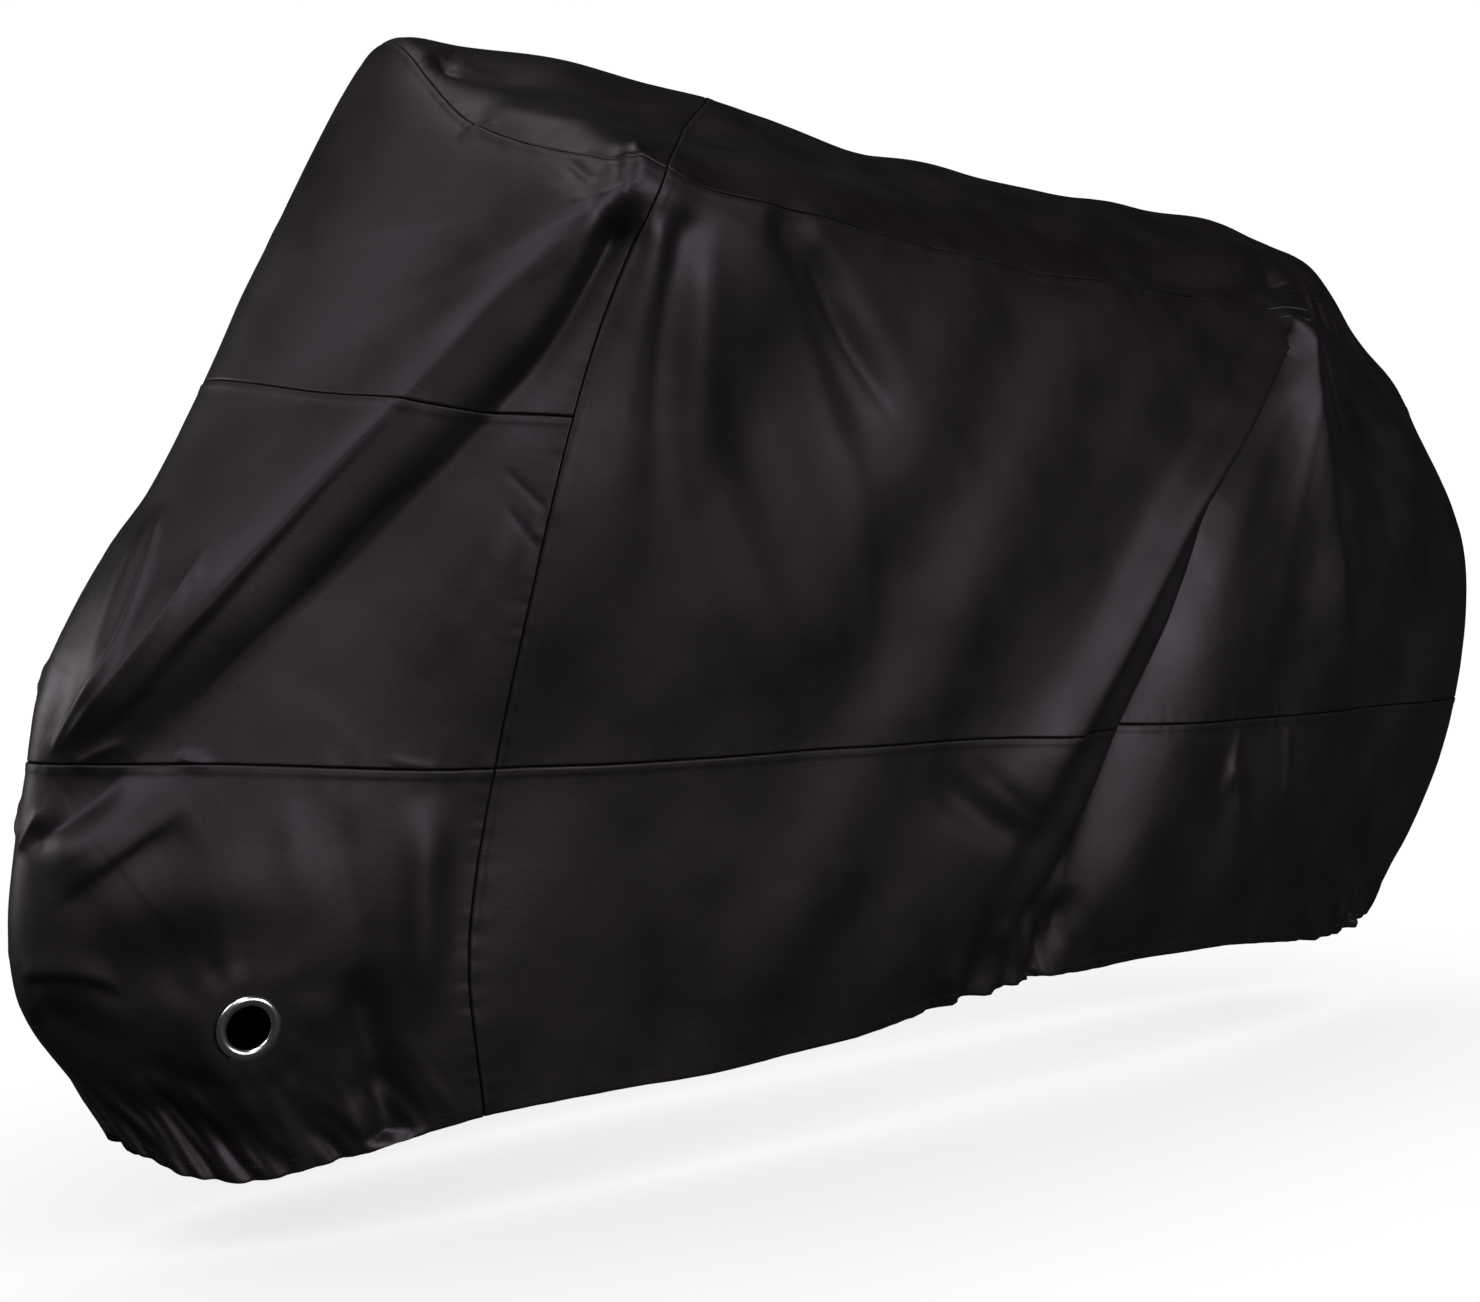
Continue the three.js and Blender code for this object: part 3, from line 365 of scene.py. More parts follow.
# %% Fine creases
CREASES = [
    Fold("sweep edge", [(1.78, 2.4), (1.49, 2.6), (1.14, 3.1), (0.93, 3.56), (0.73, 4.16), (0.62, 4.6),
         (0.4, 4.95)], 0, (15, 30), (0.5, 0.15), drop=4.8, step=4, sides=(1.2, 2.0)),
    Fold("sweep second line", [(1.5, 3.2), (1.27, 3.5), (1.13, 3.88), (0.98, 4.26), (0.87, 4.76)], -2.5,
         (9, 13), (0.25, 0.25), drop=0.8, point=1.3),
    Fold("trough core", [(1.82, 2.19), (1.81, 2.39), (1.79, 2.62), (1.71, 2.82), (1.59, 2.99)], 0,
         (18, 34), (0.15, 0.35), drop=6.5, step=8, sides=(1.6, 1.1)),
    Fold("lower wedge", [(0.12, 5.37), (0.37, 5.28), (0.56, 5.16), (0.73, 4.97)], -6, (12, 14),
         (0.2, 0.4), point=1.6),
    Fold("streak in the wedge", [(0.37, 5.02), (0.5, 4.94), (0.66, 4.84)], 5, (6, 6), (0.3, 0.4),
         point=1.3),
    Fold("short crest", [(0.02, 5.38), (0.12, 5.3), (0.26, 5.18)], 4, (5, 5), (0.3, 0.3), point=1.2),
    Fold("dark streak", [(0.36, 5.62), (0.61, 5.49), (0.8, 5.38), (0.96, 5.28), (1.06, 5.2)], -2,
         (14, 18), (0.35, 0.4), drop=-4, step=5, sides=(1.0, 1.8)),
    Fold("nose crest", [(0.19, 3.5), (0.35, 3.81), (0.42, 4.2), (0.39, 4.53), (0.28, 4.82),
         (0.21, 4.98)], 4.5, (4, 6), (0.25, 0.2), drop=-1.2, point=1.15),
    Fold("nose second crest", [(0.6, 3.66), (0.59, 3.99), (0.53, 4.34), (0.43, 4.69), (0.24, 4.97)],
         4.5, (4, 6), (0.2, 0.2), drop=-1.4, point=1.15),
    Fold("tuck line", [(1.8, 1.9), (1.82, 2.02), (1.84, 2.13)], -1.5, (8, 8), (0.2, 0.2), drop=3.0,
         point=1.2, sides=(0.7, 1.6)),
    Fold("tuck curve", [(1.62, 2.26), (1.74, 2.2), (1.84, 2.13)], 3, (7, 8), (0.25, 0.15), drop=1.6,
         point=1.3),
    Fold("tuck pillow", [(1.56, 1.98), (1.66, 2.05), (1.77, 2.07)], 2.5, (14, 13), (0.35, 0.3)),
    Fold("tuck dimple", [(1.5, 2.04), (1.6, 2.1), (1.7, 2.16)], -2.5, (6, 6), (0.4, 0.3)),
    Fold("lit corner", [(0.86, 2.12), (1.0, 1.98), (1.12, 1.86)], 2.0, (8, 10), (0.3, 0.3), drop=1.6,
         point=1.3),
    Fold("brow line", [(0.62, 1.2), (0.86, 1.0), (1.16, 0.8)], 3, (5, 6), (0.3, 0.4), drop=-1.5,
         point=1.2),
    Fold("brow end", [(0.72, 1.42), (0.66, 1.24), (0.6, 1.05)], -5, (9, 12), (0.3, 0.3)),
    Fold("seam light", [(2.04, 2.16), (2.12, 2.54), (2.2, 3.1), (2.24, 3.7)], 1.6, (11, 22),
         (0.15, 0.4)),
    Fold("seam dark", [(2.13, 2.14), (2.22, 2.53), (2.35, 3.16), (2.42, 3.9)], -2.0, (10, 22),
         (0.15, 0.4), sides=(1.5, 1)),
    Fold("fan light", [(2.21, 2.15), (2.31, 2.51), (2.46, 3.2), (2.66, 4.0), (2.9, 4.8)], 1.6, (9, 24),
         (0.35, 0.3)),
    Fold("fan dark", [(2.4, 2.35), (2.56, 2.72), (2.74, 3.3), (2.9, 4.0)], -1, (14, 34), (0.3, 0.35),
         sides=(1.6, 1)),
    Fold("fold edge", [(2.6, 2.12), (2.78, 2.34), (2.93, 2.55), (3.12, 2.82), (3.3, 3.1)], -1, (11, 18),
         (0.25, 0.4), drop=4, step=4, sides=(1.6, 1.4)),
    Fold("fold second edge", [(2.72, 2.18), (2.83, 2.3), (2.98, 2.46)], -1.5, (5, 7), (0.3, 0.4),
         drop=1.4, point=1.2),
    Fold("long light", [(2.74, 2.5), (2.95, 2.9), (3.12, 3.4), (3.2, 4.1), (3.22, 4.8)], 2.5, (14, 26),
         (0.3, 0.3)),
    Fold("side wrinkle", [(1.74, 3.26), (1.86, 3.36), (2.0, 3.5)], -1.2, (4, 4), (0.4, 0.2), point=1.4),
    Fold("side wrinkle two", [(1.8, 3.45), (1.89, 3.56), (2.0, 3.7)], -1.1, (4, 4), (0.4, 0.2),
         point=1.4),
    Fold("side wrinkle three", [(1.9, 3.8), (1.93, 3.62), (1.96, 3.44)], 1.2, (4, 4), (0.35, 0.35),
         point=1.4),
    Fold("light by the seam", [(1.8, 3.4), (1.77, 3.9), (1.68, 4.5)], 2.5, (16, 24), (0.35, 0.35)),
    Fold("tail light ridge", [(5.58, 2.33), (5.1, 2.76), (4.76, 3.3), (4.52, 3.8), (4.3, 4.36),
         (4.08, 5.0), (3.9, 5.6)], 6, (9, 22), (0.06, 0.3), point=1.6, sides=(0.8, 1.8)),
    Fold("tail edge", [(5.73, 2.28), (5.28, 2.69), (5.01, 3.04), (4.83, 3.42), (4.73, 3.85),
         (4.62, 4.3), (4.48, 4.74), (4.33, 5.18), (4.18, 5.61), (4.05, 6.2)], -2, (9, 20), (0.05, 0.2),
         drop=5, step=4, sides=(1.5, 1.1)),
    Fold("tail second line", [(5.6, 2.33), (5.22, 2.68), (4.95, 3.04), (4.78, 3.4)], -3, (5, 7),
         (0.15, 0.4), drop=1.4, point=1.2),
    Fold("corner edge", [(5.83, 2.28), (5.74, 2.66), (5.75, 3.1), (5.8, 3.6), (5.86, 4.2), (5.95, 4.9)],
         0, (13, 24), (0.06, 0.2), drop=5, step=4, sides=(1.0, 2.0)),
    Fold("corner line", [(5.98, 2.36), (6.03, 2.67), (6.1, 2.98)], -3, (4, 6), (0.25, 0.4), point=1.2),
    Fold("tongue front", [(6.02, 1.42), (6.0, 1.86), (5.99, 2.28)], 4, (5, 7), (0.25, 0.2), drop=2,
         point=1.2),
    Fold("tongue middle", [(6.1, 1.5), (6.1, 1.95), (6.12, 2.34)], -6, (7, 9), (0.3, 0.2), point=1.4),
    Fold("tongue rear", [(6.26, 1.36), (6.22, 1.9), (6.2, 2.36)], 4, (5, 7), (0.3, 0.2), drop=-2,
         point=1.2),
    Fold("top edge by the tail", [(4.3, 2.08), (4.75, 2.0), (5.3, 1.92), (5.92, 1.9)], -3, (9, 8),
         (0.3, 0.12), drop=-2.8, point=1.3, sides=(1.5, 0.8)),
    Fold("dark spot by the tack", [(5.3, 2.1), (5.45, 2.12), (5.6, 2.1)], -3, (6, 6), (0.4, 0.4)),
    Fold("over the eyelet", [(0.75, 5.8), (1.0, 5.62), (1.24, 5.56), (1.46, 5.66), (1.62, 5.9)], 4,
         (26, 30), (0.45, 0.45), sides=(1.8, 1.2)),
    Fold("low left hollow", [(0.2, 6.02), (0.42, 6.16), (0.7, 6.36)], -9, (20, 28), (0.3, 0.4)),
    Fold("left lip", [(0.1, 5.9), (0.44, 5.89), (0.68, 5.93), (0.84, 6.01)], 0, (20, 26), (0.15, 0.4),
         drop=-3.5, step=4.5, sides=(1, 1.6)),
    Fold("light column", [(1.36, 5.12), (1.42, 5.4), (1.5, 5.75)], 2.5, (18, 22), (0.4, 0.4)),
    Fold("dark column", [(1.53, 5.15), (1.58, 5.5), (1.66, 5.95)], -2, (12, 18), (0.4, 0.4)),
    Fold("second light column", [(1.75, 5.1), (1.8, 5.6), (1.82, 5.95), (1.74, 6.4)], 2.5, (14, 22),
         (0.35, 0.35)),
    Fold("low left pocket", [(0.8, 6.28), (1.0, 6.42), (1.25, 6.52)], -6, (16, 18), (0.4, 0.4)),
    Fold("low right pocket", [(1.48, 6.6), (1.66, 6.64), (1.84, 6.56)], -3, (18, 20), (0.4, 0.4)),
    Fold("waist pinch front", [(0.9, 4.94), (1.0, 4.98), (1.12, 5.0)], 3, (6, 6), (0.4, 0.4),
         point=1.4),
    Fold("waist pinch side", [(1.62, 4.93), (1.72, 4.97), (1.84, 4.99)], 0.9, (5, 5), (0.45, 0.45)),
    Fold("skirt light band", [(4.34, 5.06), (4.24, 5.45), (4.16, 5.85), (4.16, 6.5), (4.14, 6.98)], 4,
         (12, 9), (0.2, 0.02), drop=1, point=1.5, sides=(1.6, 0.9)),
    Fold("skirt dark shape", [(3.66, 5.1), (3.78, 5.35), (3.98, 5.6)], -3, (12, 16), (0.3, 0.35),
         drop=1, point=1.5),
    Fold("skirt streak", [(5.09, 5.06), (5.05, 5.3), (4.99, 5.62)], 3.2, (8, 9), (0.15, 0.4),
         point=1.5),
    Fold("skirt second streak", [(5.44, 5.06), (5.45, 5.35), (5.47, 5.7)], 3.2, (10, 10), (0.15, 0.4),
         point=1.5),
    Fold("rear hem tuck", [(6.3, 5.75), (6.45, 6.2), (6.52, 6.6)], 5, (7, 8), (0.3, 0.2), drop=2,
         point=1.2),
]


# %% Random relief: soft patches, and streaks that fan out
NOISE_VALUES = 4096
NOISE_CELLS = 64


def value_noise(t, seed):
    """Smooth random numbers from -1 to 1 along a line, with one new value a unit."""
    table = np.random.default_rng(seed).uniform(-1, 1, NOISE_VALUES)
    first = np.floor(t).astype(int)
    part = smooth(t - first)
    return table[first % NOISE_VALUES] * (1 - part) + table[(first + 1) % NOISE_VALUES] * part


def patch_noise(p, size, seed):
    """Smooth random numbers from -1 to 1 in space, with patches of about the given size."""
    table = np.random.default_rng(seed).uniform(-1, 1, (NOISE_CELLS,) * 3)
    q = p / size
    first = np.floor(q).astype(int)
    part = smooth(q - first)
    total = np.zeros(len(p))
    for corner in np.ndindex(2, 2, 2):
        weight = np.prod(np.where(corner, part, 1 - part), axis=1)
        i, j, k = ((first + corner) % NOISE_CELLS).T
        total += weight * table[i, j, k]
    return total


PATCHES = [{"size": 150, "lift": 1.1, "seed": 3}, {"size": 70, "lift": 0.6, "seed": 5},
           {"size": 30, "lift": 0.28, "seed": 8}]

# Faint streaks run out like rays from the two places where the cloth is held: the side peak and the
# pinch at the tail. turn is the angle from one streak to the next, and reach is how far they go.
FANS = [
    {"place": (2.0, 2.0), "turn": 4.2, "lift": 0.5, "start": 60, "reach": 620, "seed": 21},
    {"place": (5.95, 2.2), "turn": 4.6, "lift": 0.8, "start": 50, "reach": 560, "seed": 22},
]
FAN_OPEN = 100  # degrees from straight down to the last streak
FAN_FADE = 30
FAN_START = 300  # where the fans begin in the table of random numbers
SIDE_BLEND = 40


def fan_lift(p):
    """Faint streaks that fan out from the held places, on both sides."""
    total = np.zeros(len(p))
    for fan in FANS:
        for sign in (1, -1):
            middle = drape([sign * fan["place"][0]], [fan["place"][1]])[0]
            offset = p - middle
            away = np.hypot(offset[:, 0], offset[:, 2])
            angle = np.degrees(np.arctan2(offset[:, 0], -offset[:, 2]))
            grow = smooth(np.clip(away / fan["start"] - 1, 0, 1))
            grow *= np.exp(-((away / fan["reach"]) ** 2))
            same_side = smooth(np.clip(-sign * p[:, 1] / SIDE_BLEND, 0, 1))
            below = smooth(np.clip((FAN_OPEN - np.abs(angle)) / FAN_FADE, 0, 1))
            streak = value_noise(angle / fan["turn"] + FAN_START, fan["seed"] + sign)
            total += fan["lift"] * grow * same_side * below * streak
    return total


# %% Eyelet seats
EYELET_STATION = 1.3
EYELET_LEVEL = 6.17
EYELET_FLAT = 38
EYELET_BLEND = 34
PUCKERS = 11
PUCKER_LIFT = 0.5
PUCKER_REACH = (40, 70, 150)  # from the middle of the eyelet: where they start, are full and end
PUCKER_SWAY, PUCKER_PHASE = 1.7, 0.6  # how unevenly they stand round the eyelet
PUCKER_TWIST = 40


def main_lift(p):
    """The lift of the main folds and the slow waves."""
    return sum(fold_lift(fold, p) for fold in FOLDS) + wave_lift(p)


eyelets = []
for name, station in (("eyelet_left", EYELET_STATION), ("eyelet_right", -EYELET_STATION)):
    seat = drape([station], [EYELET_LEVEL])
    facing = outward([station], [EYELET_LEVEL])
    middle = seat + facing * main_lift(seat)[:, None]
    eyelets.append({"name": name, "middle": middle[0], "facing": facing[0]})
    print(name, "at", ((middle[0] - HOLD) / 1000).round(4).tolist())


def round_the_eyelets(p, plain):
    """Flattens the cloth under the metal, and draws it in small puckers that leave it like rays."""
    for eyelet in eyelets:
        middle, facing = eyelet["middle"], eyelet["facing"]
        offset = plain - middle
        away = np.linalg.norm(offset, axis=1)
        hold = 1 - smooth(np.clip((away - EYELET_FLAT) / EYELET_BLEND, 0, 1))
        p = p - (hold * ((p - middle) @ facing))[:, None] * facing
        up = unit(np.cross(facing, [0.0, 1.0, 0.0]))
        side = np.cross(facing, up)
        angle = np.arctan2(offset @ side, offset @ up)
        start, full, end = PUCKER_REACH
        grow = smooth(np.clip((away - start) / (full - start), 0, 1))
        grow *= 1 - smooth(np.clip((away - full) / (end - full), 0, 1))
        sway = PUCKER_SWAY * np.sin(2 * angle + PUCKER_PHASE)
        ray = np.sin(PUCKERS * angle + sway + away / PUCKER_TWIST)
        p = p + (PUCKER_LIFT * grow * ray)[:, None] * facing
    return p


# %% [markdown]
# ## Panels
# A cover is cut as flat panels and sewn. Each panel becomes one grid of points that runs round the
# cover and down it, so that its weave, its seams and its edges follow the cloth. A grid is easy to
# control: its lines are pressed together beside every seam, where the sewn edges roll in and the folded
# allowance lies as a low band under the cloth. The lower panels go on past the hem, round a small
# curve and up again inside, like a hem that is folded over its elastic.

# %% Panel table
# pitch says how close the grid lines are. In a front panel it is the millimetres between lines on the
# near side, on the far side and down the panel. In a rear panel the first two numbers scale the lines
# of the table REAR_LINES instead.
PANELS = [
    {"name": "top_front", "from": 0, "to": CROSS_SEAM, "top": 0, "bottom": SHOULDER,
     "pitch": (4.2, 7.5, 5.6), "flat": (0.76, 0.5), "area": 0.186},
    {"name": "top_rear", "from": CROSS_SEAM, "to": TAIL, "top": 0, "bottom": SHOULDER,
     "pitch": (0.85, 0.4, 8.0), "flat": (1.98, 0.72), "area": 0.748},
    {"name": "front_upper", "from": 0, "to": CROSS_SEAM, "top": SHOULDER, "bottom": CHEST,
     "pitch": (3.3, 6.8, 3.9), "flat": (0.8, 0.42), "area": 0.263},
    {"name": "front_middle", "from": 0, "to": CROSS_SEAM, "top": CHEST, "bottom": WAIST,
     "pitch": (3.3, 7.0, 3.9), "flat": (0.92, 0.46), "area": 0.354},
    {"name": "front_lower", "from": 0, "to": CROSS_SEAM, "top": WAIST, "bottom": HEM,
     "pitch": (3.4, 6.4, 4.1), "flat": (0.95, 0.46), "area": 0.377},
    {"name": "rear_side", "from": CROSS_SEAM, "to": TAIL, "top": SHOULDER, "bottom": WAIST,
     "pitch": (1.0, 0.45, 8.6), "flat": (4.35, 0.66), "area": 2.34},
    {"name": "rear_skirt", "from": CROSS_SEAM, "to": TAIL, "top": WAIST, "bottom": HEM,
     "pitch": (0.95, 0.42, 7.6), "flat": (4.35, 0.42), "area": 1.37},
]
# How many grid lines the rear panels have in one station, at some stations: most by the tail folds.
REAR_LINES = [(2.0, 60), (2.6, 46), (4.0, 46), (4.3, 86), (6.15, 86), (6.5, 44), (7.0, 34), (8.0, 20)]
REAR_SAMPLES = 601
ROUND_SAMPLES = 161
DOWN_SAMPLES = 25
EDGE_STEPS = np.array([0.12, 0.5, 1.4, 3.0, 4.6, 6.6, 8.6, 10.4, 13.0])
HEM_STEPS = np.array([0.0, 3.0, 6.5, 10.0, 12.5, 14.0, 15.5, 19.0])
SIMPLE_EDGE = np.array([0.0])


def even_lines(length, pitch):
    """Where the lines lie between the two ends of a length, as shares from 0 to 1."""
    return np.linspace(0, 1, max(int(round(length / pitch)), 2) + 1)[1:-1]


def graded_lines(near, far):
    """The lines of a rear panel from the cross seam round the tail and back to it on the far side, as
    shares. near and far scale the table on the two sides."""
    station, lines = np.array(REAR_LINES, float).T
    place = np.linspace(CROSS_SEAM, TAIL, REAR_SAMPLES)
    lines = np.interp((place[1:] + place[:-1]) / 2, station, lines)
    count = np.concatenate([[0], np.cumsum(np.diff(place) * lines)])
    halves = []
    for scale in (near, far):
        steps = np.linspace(0, count[-1], int(round(count[-1] * scale)) + 1)
        halves.append((np.interp(steps, count, place) - CROSS_SEAM) / (TAIL - CROSS_SEAM) / 2)
    return np.concatenate([halves[0][1:], 1 - halves[1][-2:0:-1]])


def place_lines(low, high, scale_low, scale_high, head, middle, foot):
    """Grid lines from low to high, pressed together at the ends as head and foot say in millimetres.
    The scales say how many millimetres one station or level is at each end."""
    first = low + head / scale_low[:, None]
    last = high - foot[::-1] / scale_high[:, None]
    inner = first[:, -1:] + (last[:, :1] - first[:, -1:]) * middle
    return np.concatenate([first, inner, last], axis=1)


def stretch_of(station, level, along_station):
    """How many millimetres one station, or one level, is at a point of the skin."""
    step = SLOPE_STEP
    if along_station:
        apart = drape(station + step, level) - drape(station - step, level)
        return np.linalg.norm(apart, axis=1) / (2 * step)
    above, below = np.maximum(level - step, 0), np.minimum(level + step, HEM)
    return np.linalg.norm(drape(station, below) - drape(station, above), axis=1) / (below - above)


def panel_grid(panel):
    """Station and level of each point of a panel, as two arrays with a row for each line down it. The
    left half, from which the cover is looked at most closely, has the finer lines."""
    front = panel["from"] == 0
    low, high = (-CROSS_SEAM, CROSS_SEAM) if front else (CROSS_SEAM, 2 * TAIL - CROSS_SEAM)
    top, bottom = panel["top"], panel["bottom"]
    round_way = np.linspace(low, high, ROUND_SAMPLES)
    rows = np.array([drape(round_way, level) for level in np.linspace(top, bottom, DOWN_SAMPLES)])
    widest = np.linalg.norm(np.diff(rows, axis=1), axis=2).sum(axis=1).max()
    longest = np.linalg.norm(np.diff(rows, axis=0), axis=2).sum(axis=0).max()
    near, far, pitch_down = panel["pitch"]
    if front:
        halves = [even_lines(widest / 2, pitch) / 2 for pitch in (far, near)]
        across = np.concatenate([halves[0], [0.5], halves[1] + 0.5])
    else:
        across = graded_lines(near, far)
    down = even_lines(longest, pitch_down)
    top_edge = EDGE_STEPS if top > 0 else SIMPLE_EDGE
    low_edge = HEM_STEPS if bottom == HEM else EDGE_STEPS
    scale = np.array([longest / (bottom - top)])
    nominal = place_lines(top, bottom, scale, scale, top_edge, down, low_edge)[0]
    ends = [stretch_of(edge, nominal, True) for edge in (low, high)]
    stations = place_lines(low, high, *ends, EDGE_STEPS, across, EDGE_STEPS).T
    middle_row = stations[:, len(nominal) // 2]
    ends = [stretch_of(middle_row, edge, False) for edge in (top, bottom)]
    levels = place_lines(top, bottom, *ends, top_edge, down, low_edge)
    return stations, levels


# %% Seams roll in, and their allowance shows as a low band
ROLL_DEPTH = 0.6
ROLL_WIDTH = 0.9
BAND_LIFT = 0.7
BAND_WIDTH = 9.5
BAND_SOFT = 1.6
TUCK_DEPTH = 4.0
TUCK_WIDTH = 0.3
SEAM_PUCKER_LIFT = 0.45
SEAM_PUCKER_PITCH = 9.0
SEAM_PUCKER_REACH = 17.0
SEAM_CALM, SEAM_CALM_PITCH = 0.8, 130
SEAM_SEED_STEP = 700
FRONT_SEAM_SEED, BACK_SEAM_SEED, RING_SEAM_SEED = 91, 97, 11


def seam_lift(away, along, band, seed):
    """The relief beside a seam, from the distance to it and the distance along it. The very edge turns
    in, so that nothing can be seen through the seam."""
    roll = -ROLL_DEPTH * np.exp(-((away / ROLL_WIDTH) ** 2))
    roll -= TUCK_DEPTH * np.exp(-((away / TUCK_WIDTH) ** 2))
    inside = (1 - np.tanh((away - BAND_WIDTH) / BAND_SOFT)) / 2
    ripple = value_noise(along / SEAM_PUCKER_PITCH, seed) * np.exp(-((away / SEAM_PUCKER_REACH) ** 2))
    calm = 1 + SEAM_CALM * value_noise(along / SEAM_CALM_PITCH, seed + 1)
    return roll + band * BAND_LIFT * inside + SEAM_PUCKER_LIFT * calm * ripple


# %% Shape one panel
HEM_CURL = 2.3
HEM_TURN = np.radians([30, 60, 90, 120, 150, 180])
HEM_RISE = np.array([4.0, 8.0, 13.0])


def shape_panel(panel):
    """All points of a panel in millimetres, with the way the cloth faces and its flat coordinates."""
    stations, levels = panel_grid(panel)
    shape = stations.shape
    station, level = stations.ravel(), levels.ravel()
    plain = drape(station, level)
    facing = outward(station, level)
    lift = main_lift(plain)
    for crease in CREASES:
        lift += fold_lift(crease, plain)
    lift += fan_lift(plain)
    for patch in PATCHES:
        lift += patch["lift"] * patch_noise(plain, patch["size"], patch["seed"])
    grid = plain.reshape(*shape, 3)
    down = np.linalg.norm(np.diff(grid, axis=1), axis=2)
    down = np.concatenate([np.zeros((shape[0], 1)), np.cumsum(down, axis=1)], axis=1)
    round_way = np.linalg.norm(np.diff(grid, axis=0), axis=2)
    round_way = np.concatenate([np.zeros((1, shape[1])), np.cumsum(round_way, axis=0)], axis=0)
    around = round_way - round_way[len(round_way) // 2]
    depth = down + SEAM_SEED_STEP * panel["top"]
    sewn = 1.0 if panel["from"] else 0.0
    borders = [(round_way, depth, sewn, FRONT_SEAM_SEED),
               (round_way[-1:] - round_way, depth, sewn, BACK_SEAM_SEED)]
    if panel["top"] > 0:
        borders.append((down, around, 1.0, RING_SEAM_SEED * panel["top"]))
    if panel["bottom"] < HEM:
        borders.append((down[:, -1:] - down, around, 0.0, RING_SEAM_SEED * panel["bottom"]))
    for away, along, band, seed in borders:
        lift += seam_lift(away.ravel(), along.ravel(), band, seed)
    points = plain + facing * lift[:, None]
    points = round_the_eyelets(points, plain).reshape(*shape, 3)
    facing = facing.reshape(*shape, 3)
    above = down[:, -1:] - down
    if panel["bottom"] == HEM:
        edge, out = points[:, -1], facing[:, -1]
        fall = unit(points[:, -1] - points[:, -4])
        centre = edge - out * HEM_CURL
        turned = [centre + out * HEM_CURL * math.cos(a) + fall * HEM_CURL * math.sin(a)
                  for a in HEM_TURN]
        raised = [centre - out * HEM_CURL - fall * rise for rise in HEM_RISE]
        extra = np.stack(turned + raised, axis=1)
        reach = np.concatenate([HEM_CURL * HEM_TURN, HEM_CURL * math.pi + HEM_RISE])
        points = np.concatenate([points, extra], axis=1)
        facing, stations, above, around = (
            np.concatenate([each, np.repeat(each[:, -1:], len(reach), axis=1)], axis=1)
            for each in (facing, stations, above, around))
        down = np.concatenate([down, down[:, -1:] + reach], axis=1)
    return {"points": points, "facing": facing, "stations": stations, "above": above, "plain": grid,
            "hem": panel["bottom"] == HEM, "flat": np.stack([around, down], axis=2)}


grids = {}
for panel in PANELS:
    grids[panel["name"]] = shape_panel(panel)
    size = grids[panel["name"]]["points"].shape
    print(panel["name"], "grid", size[0], "by", size[1])

# %% [markdown]
# ## Where the hem is gathered
# The elastic pulls the hem together at the front, under the tail and in one spot halfway. Between
# them the cloth hangs smooth. Each place is a row, and the strength at a point is the sum of the rows.

# %% Gathers table
GATHERS = [
    {"at": 0.55, "half": 0.45, "strength": 0.8},
    {"at": 1.25, "half": 0.5, "strength": 1.0},
    {"at": 3.92, "half": 0.3, "strength": 1.5},
    {"at": 6.35, "half": 0.5, "strength": 1.4},
    {"at": 7.4, "half": 0.6, "strength": 0.7},
]
CALM_GATHER = 0.08
FULL_GATHER = 1.6
NOSE_CALM = 0.25
NO_HEM = 1000.0  # the height above the hem that a point gets where no hem is near, in millimetres
HEM_SAMPLES = 1601


def gather_strength(stations):
    """How strongly the hem is gathered at a station."""
    size = np.abs((stations + TAIL) % (2 * TAIL) - TAIL)
    total = np.full(size.shape, CALM_GATHER)
    for row in GATHERS:
        total += row["strength"] * np.exp(-(((size - row["at"]) / row["half"]) ** 2))
    return np.minimum(total, FULL_GATHER) * smooth(np.clip(size / NOSE_CALM, 0, 1))


hem_table = np.linspace(0, 2 * TAIL, HEM_SAMPLES)
hem_line = drape(hem_table, HEM)
hem_reach = np.concatenate([[0], np.cumsum(np.linalg.norm(np.diff(hem_line, axis=0), axis=1))])
print("hem is", round(hem_reach[-1] / 1000, 2), "m long")


def hem_distance(stations):
    """Distance from the nose along the hem, the same on both sides of a seam."""
    return np.interp(stations % (2 * TAIL), hem_table, hem_reach)


# %% [markdown]
# A gather is a rule that follows a surface, so Geometry Nodes can make it: the tree moves each point
# along the way the cloth faces, by a random wave that runs along the hem and dies out above it. The
# same tree works on the cloth and on the lines that the stitches follow, so both move together.

# %% Small helpers for node trees


def plug(tree, socket, value):
    """Links a socket to another one, or sets it to a plain value."""
    if isinstance(value, bpy.types.NodeSocket):
        tree.links.new(value, socket)
    else:
        socket.default_value = value


def add_node(tree, kind, inputs=(), **settings):
    """A new node with its settings, and its inputs linked or set, each found by its name or number."""
    node = tree.nodes.new(kind)
    for key, value in settings.items():
        setattr(node, key, value)
    for socket, value in dict(inputs).items():
        plug(tree, node.inputs[socket], value)
    return node


def math_node(tree, operation, *values):
    return add_node(tree, "ShaderNodeMath", dict(enumerate(values)), operation=operation).outputs[0]


def noise_node(tree, place, scale, detail):
    return add_node(tree, "ShaderNodeTexNoise",
                    {"Vector": place, "Scale": scale, "Detail": detail}).outputs[0]


def read_attribute(tree, name, kind="FLOAT"):
    node = add_node(tree, "GeometryNodeInputNamedAttribute", {"Name": name}, data_type=kind)
    return node.outputs["Attribute"]


